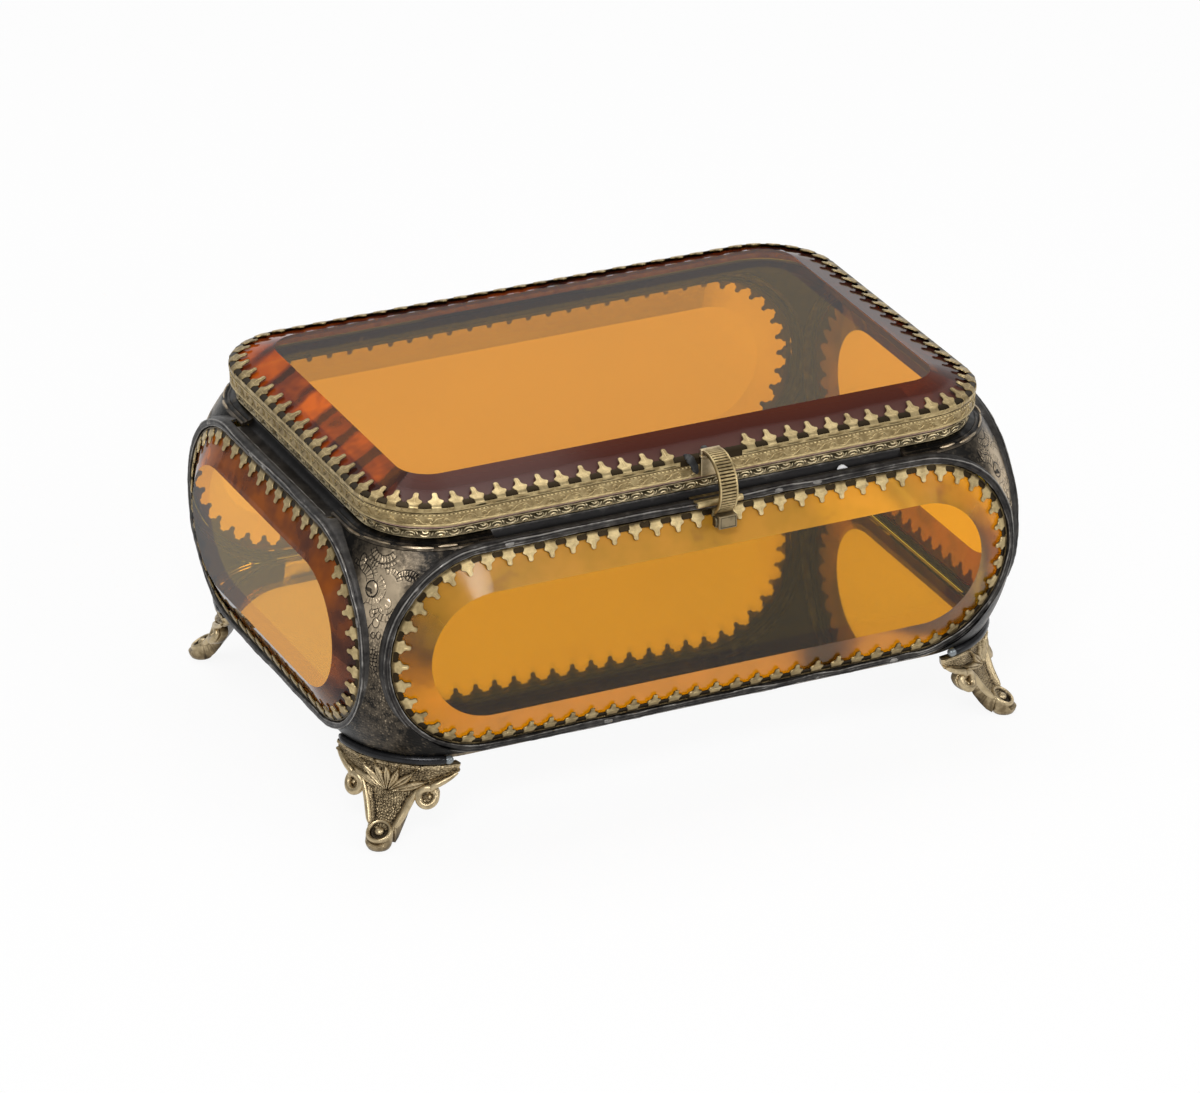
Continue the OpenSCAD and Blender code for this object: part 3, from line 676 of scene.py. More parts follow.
def pane_frame(side):
    """The solder bead round a pane: uneven, with two ridges pulled along it."""
    run, at = SIDES[side]
    b = Build()
    spots = spots_round(side, PANE_R, 0.55)
    total, n = pane_length(side, PANE_R), len(spots)
    seed = 100 + 10 * sorted(SIDES).index(side)

    def wander(k, period, amp):
        return smooth_noise(seed + k, period, n, amp)[:, None]

    outer = 24            # columns round the bead's open side; the other five are behind it
    ang = np.concatenate([np.linspace(0.0, np.pi, outer), np.linspace(np.pi + 0.6, 2 * np.pi - 0.6, 5)])
    left, right, crest = wander(1, 9, 0.1), wander(2, 14, 0.1), wander(3, 3, 0.05)
    sway, sway2 = wander(5, 12, 0.22), wander(6, 10, 0.22)
    k = bell(ang, 0.85 + sway, 0.17) * (0.17 + left) + bell(ang, 2.25 + sway2, 0.16) * (0.15 + right)
    k += bell(ang, 1.55 - sway2, 0.12) * (0.04 + 0.6 * right)
    k -= bell(ang, 1.25, 0.16) * 0.09 + bell(ang, 0.3, 0.2) * 0.08
    k[:, :outer] += smooth_noise(seed + 8, 2, n * outer, 0.035).reshape(n, outer)
    rad = 0.93 + crest + k
    across, up = np.cos(ang) * rad + wander(4, 16, 0.12), np.sin(ang) * rad * 0.98
    wear_and_painted_light = 2.625 * np.maximum(k, 0) + 0.9 * np.minimum(k, 0) + 0.9 * crest - 0.06
    rows = [[spot(o, w) for o, w in zip(*line)] for spot, *line in zip(spots, across, up)]
    b.grid(rows, True, True, wear_and_painted_light)
    # the solder that ran in behind the bead, up to the sheet
    rows = []
    for i, spot in enumerate(spots):
        _p, _t, (nu, _nv) = stadium_at(i * total / n, run, PANE_R)
        deep = -3.0 if abs(nu) > 0.12 else -1.1
        rows.append([spot(o, w) for o, w in
                     ((0.2, 0.2), (0.75, 0.3), (1.0, 0.0), (1.15, -0.7), (1.1, deep), (0.5, deep))])
    b.grid(rows, True, True, -0.1)
    # blobs where the wire was joined
    g = random.Random(seed)
    for _ in range(5):
        (u, v), (tu, tv), (nu, nv) = stadium_at(g.uniform(0, total), run, PANE_R)
        path = [at(u + tu * k + nu * g.uniform(-0.1, 0.1), v + tv * k + nv * g.uniform(-0.1, 0.1),
                   0.45 + g.uniform(0, 0.1)) for k in (-1.6, -0.8, 0, 0.9, 1.8)]
        b.tube(path, [0.15, 0.5, 0.62, 0.5, 0.12], 8, wear_and_painted_light=0.25)
    b.done("frame_bead_" + side, SOLDER, "casket", ["frame_" + side])


# ---- the corner sheets, with their worn relief ----

def fan(a, z, cx, cz, r0, r1, t0, t1, cells):
    """A crescent of outlined cells between two radii: +1 in a cell, -1 in the lines round it, 0 outside."""
    r = np.hypot(a - cx, z - cz)
    t = np.degrees(np.arctan2(z - cz, a - cx)) % 360
    q = ((t - t0) % 360) / ((t1 - t0) % 360)
    inside = (r > r0) & (r < r1) & (q <= 1)
    f = (q * cells) % 1
    line = (f < 0.12) | (f > 0.88) | (r - r0 < 0.12 * (r1 - r0)) | (r1 - r < 0.1 * (r1 - r0))
    return np.where(inside, np.where(line, -1.0, 1.0), 0.0)


def disc(a, z, cx, cz, rx, rz, soft=0.25):
    d = np.hypot((a - cx) / rx, (z - cz) / rz)
    return np.clip((1 - d) / soft, 0, 1)


def pebbles(a, z, size, seed):
    """Irregular cells, from the distances to the nearest and second nearest of a jittered grid of points."""
    jit = np.random.RandomState(seed).uniform(-0.38, 0.38, (64, 128, 2))
    best, second = np.full(a.shape, 1e9), np.full(a.shape, 1e9)
    gi, gj = np.floor(a / size).astype(int), np.floor(z / size).astype(int)
    for di in (-1, 0, 1):
        for dj in (-1, 0, 1):
            i, j = gi + di, gj + dj
            off = jit[i % 64, j % 128]
            d = np.hypot(a - (i + 0.5 + off[..., 0]) * size, z - (j + 0.5 + off[..., 1]) * size)
            second = np.where(d < best, best, np.minimum(second, d))
            best = np.minimum(best, d)
    return np.clip((second - best) / (0.35 * size), 0, 1)


# centre, radii, first and last angle, cells
FANS = (
    (-5.3, 62.1, 1.5, 3.5, 2, 84, 5), (-5.6, 62.4, 3.7, 4.6, 18, 62, 5), (-2.2, 61.0, 1.9, 3.5, -12, 62, 4),
    (-1.9, 61.0, 1.6, 3.1, 246, 352, 7), (-1.4, 60.4, 3.3, 4.3, 262, 340, 7),
    (1.6, 58.1, 1.7, 3.3, 186, 352, 9), (1.6, 62.6, 1.9, 3.1, 20, 118, 6), (5.4, 62.2, 2.3, 3.5, 40, 132, 8),
    (-0.9, 70.2, 2.4, 4.0, 212, 322, 9), (-0.9, 70.4, 4.3, 5.1, 226, 312, 10),
    (6.6, 65.6, 1.2, 2.2, 200, 330, 6), (-6.6, 66.9, 1.3, 2.3, 230, 350, 5))
# centre, radii, rubbing
DROPS = (
    (1.55, 58.7, 1.35, 1.15, 0.55), (-0.1, 54.3, 0.72, 0.95, 0.62), (-1.2, 56.2, 0.5, 0.85, 0.3),
    (0.75, 51.7, 0.4, 0.7, 0.3), (-5.5, 65.6, 0.8, 1.5, 0.3), (-0.5, 51.5, 0.45, 0.55, 0.25))
# place and lean at a height
STEMS = ((-3.4, 0.55, 57.4), (2.9, -0.6, 56.6), (-1.5, 0.22, 52.5))


def relief(a, z, seed):
    """Relief and wear of a corner sheet at distance a round from its middle and height z."""
    h, busy = np.zeros(a.shape), np.zeros(a.shape)
    # the upper half is rubbed smooth and bright, the foot of the sheet is dark and stippled
    rub = bell(a, 0.2, 6.2) * bell(z, 60.0, 9.0)
    w = 0.95 * rub - 0.12
    for spec in FANS:
        c = fan(a, z, *spec)
        h += 0.05 * c
        w += np.where(c > 0, 0.12, 0) + np.where(c < 0, -0.5, 0)
        busy = np.maximum(busy, np.abs(c))
    # the flower: a round boss with a spiral cut in from its left
    boss = disc(a, z, -2.1, 61.0, 1.35, 1.5)
    halo = disc(a, z, -2.1, 61.0, 1.62, 1.78, 0.12)
    h += 0.22 * boss - 0.08 * halo * (boss == 0)
    w = np.where(halo > 0, np.where(boss > 0, 0.4, -0.3), w)
    cut = np.maximum(disc(a, z, -2.75, 60.85, 0.95, 0.5, 0.4), disc(a, z, -2.1, 60.35, 0.42, 0.3, 0.5))
    h -= 0.14 * cut
    w -= 0.55 * np.clip(cut * 1.5, 0, 1)
    # the smooth tongue inside the crescent, and the drops below it
    for cx, cz, rx, rz, up in DROPS:
        d = disc(a, z, cx, cz, rx, rz)
        ring = disc(a, z, cx, cz, rx + 0.2, rz + 0.2, 0.1) * (d == 0)
        h += 0.16 * d - 0.05 * ring
        w += 0.6 * up * d - 0.6 * ring
        busy = np.maximum(busy, d)
    for a0, lean, z0 in STEMS:
        line = np.abs(a - (a0 + lean * (z - z0) + 0.35 * np.sin(z * 1.4))) < 0.11
        line = line & (z > z0 - 3.2) & (z < z0 + 2.4) & (busy < 0.3)
        h -= 0.07 * line
        w -= 0.55 * line
    # a column of netted cells down the waist
    net = pebbles(a + 0.25 * np.sin(z), z * 0.86, 0.78, seed + 1)
    col = np.clip((0.95 - np.abs(a + 0.1)) / 0.15, 0, 1)
    col = col * np.clip((49.0 - z) / 0.6, 0, 1) * np.clip((z - 41.5) / 3.5, 0, 1)
    h += col * 0.16 * (net - 0.35)
    w += col * np.where(net > 0.5, 0.2, -0.4)
    # everywhere else the ground is stippled, most where it is least rubbed
    cells = pebbles(a + 0.2 * np.sin(2.1 * z), z + 0.2 * np.sin(1.7 * a), 0.8, seed)
    grit = pebbles(a, z, 0.5, seed + 2)
    quiet = np.clip(1.1 - rub * 1.5, 0.06, 1) * (1 - col) * (1 - busy)
    h += (0.035 * (cells - 0.5) + 0.012 * (grit - 0.5)) * quiet
    w += (0.07 * (cells - 0.8) + 0.02 * (grit - 0.6)) * quiet
    # dark streaks where the flux ran
    w -= 0.16 * np.clip((np.abs(a) - 4.5) / 3.0, 0, 1) * (1 - 0.4 * rub)
    return h, w


def corner_point(sx, sy, t, r, z):
    """A point at angle t and radius r about a corner's axis; sx and sy say which corner."""
    return sx * (CORNER_X + r * math.cos(t)), sy * (CORNER_Y + r * math.sin(t)), z


def sheet_ends(z, rho):
    """Where a row of a corner sheet ends, in distance round from its near flat: under the panes' beads."""
    dz = z - PANE_MID
    if abs(dz) >= CUT_R:
        return -7.8, rho * math.pi / 2 + 5.0
    k = math.sqrt(CUT_R ** 2 - dz ** 2)
    e = FRONT_RUN / 2 + k - CORNER_X
    far = rho * math.pi / 2 - e if e < 0 else rho * math.acos(min(1, e / rho))
    e = SIDE_RUN / 2 + k - CORNER_Y
    return e if e < 0 else rho * math.asin(min(1, e / rho)), far


def pillar(sx, sy, name, seed):
    """A corner sheet, with the shoulder that runs in under the body rim."""
    b = Build()

    def sheet(d, rho, r, z):
        """Points at distances d; beyond the arc the sheet runs straight on."""
        q = np.clip(d / rho, 0, math.pi / 2)
        lo, hi = np.minimum(d, 0), np.maximum(d - rho * math.pi / 2, 0)
        x, y = CORNER_X + r * np.cos(q) - hi, CORNER_Y + r * np.sin(q) + lo
        return np.stack([sx * x, sy * y, np.full(len(d), z)], 1)

    middle = math.radians(41)
    outer, wear_and_painted_light, inner = [], [], []
    for z in np.arange(SHEET_LOW + 0.02, SHEET_HIGH - 0.01, 0.16):
        rho = corner_radius(z)
        near, far = sheet_ends(z, rho)
        d = np.linspace(near, far, 150)
        # seen from outside, a runs to the right on every corner
        a = (d - middle * rho) * sx * sy
        h, w = relief(a, np.full(len(d), z), seed)
        h = h * np.clip(np.minimum(d - near, far - d) / 0.5, 0, 1)
        outer.append(sheet(d, rho, rho + h - 0.11, z))
        wear_and_painted_light.append(w)
        inner.append(sheet(np.linspace(near, far, 14), rho, rho - 1.0, z))
    b.grid(outer, wear_and_painted_light=wear_and_painted_light)
    b.grid(inner, wear_and_painted_light=-0.4)
    # the shoulder: round the corner, with a wing along each side
    prof = [(3.12, 69.3, -0.2), (2.95, 69.7, -0.24), (2.5, 69.86, -0.14), (2.2, 69.72, -0.3),
            (1.9, 69.9, -0.26), (1.5, 70.1, -0.15), (1.2, 69.98, -0.3), (0.7, 70.3, -0.3),
            (0.1, 70.66, -0.35), (-0.9, 70.66, -0.4), (-0.9, 69.7, -0.4), (2.0, 69.0, -0.4)]
    wing, r = 7.6, RIM[2]
    track = [(CORNER_X + r, CORNER_Y - wing + wing * k / 12, 1, 0) for k in range(12)]
    for t in np.linspace(0, math.pi / 2, 60):
        c, s = math.cos(t), math.sin(t)
        track.append((CORNER_X + r * c, CORNER_Y + r * s, c, s))
    track += [(CORNER_X - wing * k / 12, CORNER_Y + r, 0, 1) for k in range(1, 13)]
    rows = []
    for (x, y, nx, ny), d in zip(track, smooth_noise(seed + 7, 4, len(track), 0.09)):
        uneven = [(o + d, z + d, w) if 0.4 < o < 3 else (o, z, w) for o, z, w in prof]
        rows.append([(sx * (x + nx * o), sy * (y + ny * o), z, w + d * 1.5) for o, z, w in uneven])
    b.grid(rows, closed_v=True, caps=True)
    # scraps of strip soldered along the shoulder, uneven and raised
    g = random.Random(seed)
    for t0, t1, o, z, rad in ((0.86, 1.22, 2.75, 69.85, 0.34), (0.35, 0.72, 2.55, 69.9, 0.26),
                              (1.28, 1.50, 2.3, 69.95, 0.3), (0.05, 0.3, 2.8, 69.75, 0.3)):
        path = [corner_point(sx, sy, t0 + (t1 - t0) * k / 6, r + o + g.uniform(-0.05, 0.05),
                             z + g.uniform(-0.04, 0.04)) for k in range(7)]
        b.tube(path, [0.1, rad, rad, rad * 1.1, rad, rad, 0.12], wear_and_painted_light=0.25)
    b.done("corner_sheet_" + name, PATINA, "casket", ["pillar_" + name])


# ---- body rim, coves and mirror ----

def mirror_plate():
    """The looking glass at the bottom: a clear plate, with its silver on the underside."""
    half = (CORNER_X + 19.7, CORNER_Y + 18.25, 18.2)
    for name, mat, low, high, chamfer, nodes in (
            ("mirror_plate_clear", CLEAR, 19.62, 21.44, 0.35, ["bottom_mirror"]),
            ("mirror_plate_silver", MIRROR, 19.46, 19.58, 0.05, [])):
        b = Build()
        rows = []
        for inset, z in ((chamfer, low), (0, low + chamfer), (0, high - chamfer), (chamfer, high)):
            ring = [v - inset for v in half]
            rows.append([(*edge_at(s, ring)[0], z) for s in steps_round(ring, 16, 6.0)])
        b.grid(rows, closed_v=True, caps=True)
        b.done(name, mat, "casket", nodes)


def body_rim():
    b = Build()
    carry(b, [rim_spot(s, RIM) for s in steps_round(RIM)], [
        (-2.0, 70.85, -0.6), (-0.3, 70.8, -0.2), (-0.08, 70.9, 0.0), (-0.1, 71.05, 0.0), (-0.18, 71.15, 0.06),
        (-0.18, 72.45, 0.08), (-0.1, 72.55, 0.1), (-0.02, 72.75, 0.14), (-0.12, 72.94, -0.1),
        (-0.4, 73.0, -0.6), (-1.9, 73.0, -0.6), (-2.0, 72.9, -0.6)])
    # the left side is made lighter, a dull gold
    b.a = [w + 0.3 if p[0] < 0.6 - RIM[0] and w > -0.15 else w for p, w in zip(b.v, b.a)]
    total = length_round(RIM)
    count = 2 * round(total / 6.6)
    for i in range(count):
        s = (i + 0.5) * total / count
        flip = 1 if i % 2 else -1
        # the sides are rubbed nearly flat
        deep = 1.0 if abs(edge_at(s, RIM)[2][1]) > 0.8 else 0.62
        jit = rng.uniform(-0.08, 0.08)
        fat = rng.uniform(0.25, 0.31)

        def at(u, v, w):
            return rim_spot(s + u + jit, RIM)(w * deep - 0.26, 71.8 + v * flip)

        curl = []
        for k in range(11):
            c, d = polar(165 - 25 * k)
            curl.append(at(1.12 * c - 0.15, 0.62 * d - 0.1, 0.12))
        radii = [0.1, 0.17, fat * 0.9, fat, fat * 1.08, fat * 1.05, fat, fat * 0.85, 0.18, 0.16, 0.15]
        b.tube(curl, radii, 7, wear_and_painted_light=0.24 * deep, flat=0.8)
        b.tube([at(-0.75, -0.55, 0.02), at(-0.2, -0.2, 0.14), at(0.35, -0.28, 0.12), at(0.7, -0.62, 0.0)],
               [0.08, 0.2, 0.22, 0.1], wear_and_painted_light=0.2 * deep)
        b.tube([at(1.15, 0.55, 0.0), at(1.45, 0.15, 0.12), at(1.7, -0.4, 0.0)], [0.08, 0.2, 0.08],
               wear_and_painted_light=0.18 * deep)
    b.done("body_rim_scrolled", RIMMED, "casket", ["body_rim"])


def cove(side):
    """Blackened hollow between the rim and the pane's bead, with a corded lower edge."""
    b = Build()
    half, out, back = 25.6, 5.8, RIM[0] - SIDE_X
    if side in ("front", "back"):
        half, out, back = 49.9, 3.9, RIM[1] - FRONT_Y

    def at(u, o, z):
        return SIDES[side][1](u, z - PANE_MID, back + o)

    n = int(2 * half / 0.9)
    seed = 40 + sorted(SIDES).index(side)
    slow, fast = smooth_noise(seed, 7, n, 0.10), smooth_noise(seed + 9, 3, n, 0.06)
    rows = []
    floor_z, reach = 68.08, out - 1.05
    for i, (p, q) in enumerate(zip(slow, fast)):
        u = -half + 2 * half * i / (n - 1)
        rows.append([(*at(u, o, z), w) for o, z, w in (
            (-0.65, 70.66, -0.3), (0.02, 70.68, 0.05), (0.16, 70.35, -0.25), (0.34, 69.9, -0.3),
            (0.66, 69.42 + p, -0.3), (1.15, 69.02 + p, -0.25), (1.7, 68.88 + q, -0.1),
            (reach - 0.55, 68.92 + q, 0.1 + q * 3), (reach - 0.2, 68.98 + q, 0.25 + q * 4),
            (reach - 0.02, 68.75, 0.15), (reach, 68.45, -0.05), (reach - 0.04, floor_z, -0.2),
            (0.6, floor_z, -0.3), (-0.65, 69.4, -0.3))])
    b.grid(rows, closed_v=True, caps=True)
    # cords of solder pulled along the lower edge
    for k, (o, z, rad) in enumerate(((out - 1.35, 68.95, 0.26), (out - 1.75, 68.98, 0.2))):
        path, radii = [], []
        for i in range(0, n, 2):
            u = 0.4 - half + (2 * half - 0.8) * i / (n - 1)
            path.append(at(u, o + fast[(i + 7 * k) % n], z + fast[(i * 2 + 3) % n]))
            radii.append(rad * (1 + 2.2 * fast[(i * 3) % n]))
        b.tube(path, radii, 7, wear_and_painted_light=0.3)
    b.done(f"cove_{side}_cast", SOLDER, "casket", ["cove_" + side])


def fleck():
    """A pale chip of old filler left on the front cove."""
    b = Build()
    g = random.Random(9)
    path = [[c + g.uniform(-0.05, 0.05) for c in p] for p in (
        (33.3, -51.1, 69.5), (33.9, -51.0, 69.75), (34.6, -50.85, 69.7), (35.3, -50.9, 69.5),
        (35.8, -51.1, 69.35))]
    b.tube(path, [0.15, 0.5, 0.62, 0.42, 0.12], 9, wear_and_painted_light=0.3)
    b.done("cove_fleck", CHALK, "casket")


# ---- feet ----

def foot_bead(sx, sy, name):
    b = Build()
    n = 48
    lo, hi = math.radians(2), math.radians(79)
    path, radii = [], []
    for i, d in enumerate(smooth_noise(77, 8, n, 0.05)):
        t = lo + (hi - lo) * i / (n - 1)
        path.append(corner_point(sx, sy, t, FOOT_RHO - 0.5 + d * 0.5, BEAD_Z))
        radii.append(min(1.12, 0.55 + 0.2 * min(i, n - 1 - i)) * (1 + d * 0.4))
    b.tube(path, radii, 20, wear_and_painted_light=-0.1)
    # the duller blob where the bead was finished off
    blob = [corner_point(sx, sy, hi - 0.02 + k, FOOT_RHO - 0.3, BEAD_Z - 0.05)
            for k in (-0.05, -0.03, 0.0, 0.03, 0.045)]
    b.tube(blob, [0.3, 0.95, 1.05, 0.8, 0.25], 10, wear_and_painted_light=0.75)
    b.done("foot_bead_drawn_" + name, GLOSSY, "casket", ["foot_bead_" + name])


# down the foot: share of the way; height and depth of the outer face, the same of the inner; half width
FOOT = np.array([
    (0.0, 18.38, -0.05, 18.38, -2.2, 15.0), (0.14, 16.6, -0.2, 16.6, -2.4, 14.7),
    (0.21, 15.6, -0.28, 15.6, -2.5, 14.1), (0.28, 14.6, -0.35, 14.6, -2.6, 12.2),
    (0.35, 13.5, -0.4, 13.5, -2.7, 9.9), (0.42, 12.4, -0.42, 12.4, -2.7, 7.5),
    (0.52, 10.4, -0.15, 10.2, -2.5, 5.55), (0.62, 8.4, 0.45, 7.6, -2.0, 4.75),
    (0.72, 6.7, 1.3, 5.2, -1.0, 4.1), (0.81, 5.5, 2.3, 3.2, 0.4, 3.65),
    (0.90, 4.7, 3.4, 1.6, 1.9, 3.4), (1.0, 4.2, 4.4, 0.9, 3.2, 3.2)]).T
SHARES, OUTER_Z, OUTER_R = FOOT[:3]
FOOT_TURN = math.radians(42)     # the way a foot points, from the long side


def palmette(a, z):
    """Seven long leaves from one root, with a vein down each: their height, and the field round them."""
    px, pz = a + 0.3, (z - 11.3) * 1.05
    r, t = np.hypot(px, pz), np.degrees(np.arctan2(px, pz))
    leaf = np.zeros(a.shape)
    for middle, length, width in ((-68, 9.4, 8.5), (-46, 8.4, 9), (-23, 7.2, 9.5), (0, 6.9, 10), (23, 7.2, 9.5),
                                  (46, 8.6, 9), (68, 9.8, 8.5)):
        f = np.clip(r / length, 0, 1)
        wide = 1.3 * width * (0.5 + 0.62 * np.sin(np.pi * f ** 0.7)) * np.clip((1 - f) / 0.4, 0, 1) ** 0.7
        d = (t - middle - 3 * np.sin(f * 3) * np.sign(middle)) / np.maximum(wide, 0.5)
        body = np.clip(1 - d * d, 0, 1) ** 0.7 * np.clip(r / 0.8, 0, 1)
        body -= 0.45 * bell(d, 0, 0.2) * np.clip(r / 3, 0, 1) * (body > 0)
        leaf = np.maximum(leaf, body)
    return leaf, (r < 9.6) & (np.abs(t) < 84)


def foot(sx, sy, name, seed):
    """Cast foot: a plate with a palmette, two volutes, and a leg that runs out to a ringed toe."""
    b = Build()
    rho = FOOT_RHO
    ct, st = math.cos(FOOT_TURN), math.sin(FOOT_TURN)

    def place(a, r, z, leg):
        """At distance a to the right: on the plate's own curve, or square to the leg where leg is 1."""
        a = np.asarray(a, float) * sx * sy
        t = FOOT_TURN + np.arcsin(np.clip(a / rho, -1, 1))
        x = (r * np.cos(t)) * (1 - leg) + (r * ct - a * st) * leg
        y = (r * np.sin(t)) * (1 - leg) + (r * st + a * ct) * leg
        return np.stack(np.broadcast_arrays(sx * (CORNER_X + x), sy * (CORNER_Y + y), z), -1)

    def squared(s):
        return np.clip((s - 0.45) / 0.3, 0, 1)

    def on(a, lift, z):
        """A point on the outer face, or lifted off it."""
        s = np.interp(z, OUTER_Z[::-1], SHARES[::-1])
        return place(a, rho + np.interp(s, SHARES, OUTER_R) + lift, z, squared(s))

    def turned(n):
        t = np.arange(n) * 2 * np.pi / n
        return np.cos(t), np.sin(t)

    # the plate and leg: a fine outer face with its relief, and a plain inner one
    s = np.linspace(0, 1, 116)[:, None]
    q = np.linspace(-1, 1, 131)[None, :]
    z, r, z_in, r_in, w = (np.interp(s, SHARES, row) for row in FOOT[1:])
    a = q * w
    z = z + 0 * a
    e = (1 - np.abs(q)) * w
    leg = np.clip((s - 0.42) / 0.1, 0, 1)
    rib, groove = bell(e, 0.7, 0.5) * leg, bell(e, 1.55, 0.28) * leg
    leaf, field = palmette(a, z)
    leaf = leaf * (s < 0.6)
    field = field & (s < 0.6) & (leaf < 0.05)
    ground = 1 - np.maximum(rib, leaf)
    cells, grit = pebbles(a, z * 1.1, 0.62, seed) - 0.5, pebbles(a, z * 1.1, 0.34, seed + 1) - 0.5
    lip = bell(s, 0.035, 0.03)
    border = bell(e, 0.35, 0.3) * (1 - leg)
    lift = 0.5 * rib - 0.2 * groove + 0.72 * leaf - 0.16 * ground - 0.12 * field + 0.16 * lip
    lift += (0.20 * cells + 0.06 * grit) * ground + 0.2 * border - 0.5 * np.clip(1 - e / 0.45, 0, 1) ** 2
    wear_and_painted_light = 0.42 * rib - 0.36 * groove + 0.46 * leaf - 0.08 * field + 0.3 * lip + 0.02
    wear_and_painted_light += (0.36 * cells + 0.16 * grit) * ground + 0.25 * border
    back = np.linspace(1, -1, 15)[None, :]
    rows = [place(a, rho + r + lift, z, squared(s)), place(back * w * 0.97, rho + r_in, z_in, squared(s))]
    wear_and_painted_light = [wear_and_painted_light, np.full((len(s), 15), -0.45)]
    b.grid(np.concatenate(rows, 1), closed_v=True, wear_and_painted_light=np.concatenate(wear_and_painted_light, 1), caps=True)

    face = (sx * 0.7, sy * 0.7, 0.1)
    for q in (-1, 1):
        def line(*points):
            return [on(q * x, l, z) for x, z, l in points]

        cx, cz = q * 8.75, 11.1
        # the arm from the plate's tip, thickening as it comes to the volute, and the volute's ring
        path = line((14.3, 16.4, 0.2), (13.2, 15.5, 0.3), (12.0, 14.75, 0.4), (10.9, 14.15, 0.5),
                    (9.9, 13.75, 0.55))
        radii = [0.35, 0.55, 0.68, 0.76, 0.8]
        for k in range(28):
            c, d = polar(66 + 13.4 * k, 1.95 - 0.012 * k)
            path.append(on(cx + q * c, 0.35, cz + d))
            radii.append(0.96 - 0.006 * k)
        b.tube(path, radii, 10, wear_and_painted_light=0.3, up=face)
        # the strip that drops from the arm into the middle of the ring
        b.tube(line((9.4, 13.5, 0.3), (8.9, 12.7, 0.25), (8.65, 11.9, 0.1), (8.6, 11.2, -0.1)),
               [0.62, 0.66, 0.55, 0.3], 9, wear_and_painted_light=0.1, up=face)
        # the dished plate behind the ring
        c, d = turned(24)
        dish = ((2.3, -2.2, -0.3), (2.5, -1.4, -0.1), (2.5, -0.5, 0.15), (2.2, -0.25, 0.15), (1.3, -0.35, 0.05),
                (0.05, -0.3, 0.05))
        b.grid([on(cx + r * c, l, cz + r * d) for r, l, _w in dish], closed_v=True,
               wear_and_painted_light=[[w] for _r, _l, w in dish])
        c, d = turned(10)
        for ex, ez, er in ((0.45 * q, -0.15, 0.56), (-0.55 * q, -1.0, 0.42)):
            ball = []
            for i in range(6):
                r, l = polar(20 * i - 10, er)
                ball.append(on(cx + ex + r * c, l - 0.15, cz + ez + r * d))
            b.grid(ball, closed_v=True, wear_and_painted_light=0.55)
        # the leg's edge ribs, from inside the volute down to the toe
        ribs = line((7.6, 13.6, -0.1), (6.6, 12.3, 0.15), (5.75, 10.9, 0.3), (5.1, 9.5, 0.35), (4.55, 8.2, 0.35),
                    (4.1, 7.0, 0.35), (3.7, 6.0, 0.3), (3.4, 5.3, 0.2), (3.1, 4.7, 0.0))
        b.tube(ribs, [0.3, 0.5, 0.66, 0.74, 0.78, 0.78, 0.74, 0.66, 0.35], 10, wear_and_painted_light=0.42, up=face)

    # the toe: it bulges up from the ground to a raised ring on the leg's slope, sunk inside, with a pearl
    c, d = turned(36)
    tc, ts = polar(31)
    low = ((1.9, 0.0, -0.3), (2.45, 0.2, -0.1), (2.8, 0.8, 0.0), (3.0, 1.5, 0.1))
    high = ((3.1, -0.75, 0.15), (3.06, -0.3, 0.25), (2.86, 0.12, 0.45), (2.55, 0.28, 0.55), (2.25, 0.16, 0.35),
            (2.02, -0.2, -0.35), (1.85, -0.5, -0.6), (1.45, -0.55, -0.6), (1.15, -0.45, -0.35),
            (1.0, -0.12, 0.2), (0.75, 0.2, 0.5), (0.4, 0.38, 0.65), (0.02, 0.42, 0.65))
    toe = [place(r * d, rho + 5.1 + r * c, z, 1.0) for r, z, _w in low]
    for r, h, _w in high:
        toe.append(place(r * d, rho + 4.95 + r * c * tc + h * ts, 4.05 - r * c * ts + h * tc, 1.0))
    sole = range(len(b.v), len(b.v) + 36)
    b.grid(toe, closed_v=True, wear_and_painted_light=[[w] for _r, _h, w in low + high])
    b.f.append(tuple(sole))
    b.done("foot_cast_" + name, ANTIQUE, "casket", ["foot_" + name])


# ---- clasp and catch ----

def bow_spot(t, r):
    """Depth and height on the clasp's bow, at t degrees round it."""
    c, s = polar(t, r)
    return BOW_Y - c, BOW_Z + s


def clasp_bow():
    b = Build()
    n, ribs = 330, 25
    cols = [-1.0, -0.965, -0.9, -0.84, -0.78, -0.72, -0.4, 0.0, 0.4, 0.72, 0.78, 0.84, 0.9, 0.965, 1.0]
    rows = []
    for share in np.linspace(0, 1, n):
        reed = min(1, 0.95 - 0.95 * math.cos(2 * math.pi * share * ribs))
        line = []
        for q in cols:
            if abs(q) > 0.99:
                d, w = -0.12, 0.2
            elif abs(q) > 0.83:
                d, w = 0.0, 0.2
            elif abs(q) > 0.75:
                d, w = min(-0.05, 0.2 * reed - 0.2), 0.3 * reed - 0.3
            else:
                d, w = 0.2 * reed - 0.2, 0.6 * reed - 0.5
            line.append((q, d, w))
        line += [(q, -BOW_T, -0.2) for q in (1.0, 0.5, 0.0, -0.5, -1.0)]
        t = BOW_LOW + (BOW_HIGH - BOW_LOW) * share
        rows.append([(CLASP_X + q * BOW_W / 2, *bow_spot(t, BOW_R + d), w) for q, d, w in line])
    b.grid(rows, closed_v=True, caps=True)
    b.done("clasp_bow_reeded", BRASS, "clasp", ["clasp_bow"])


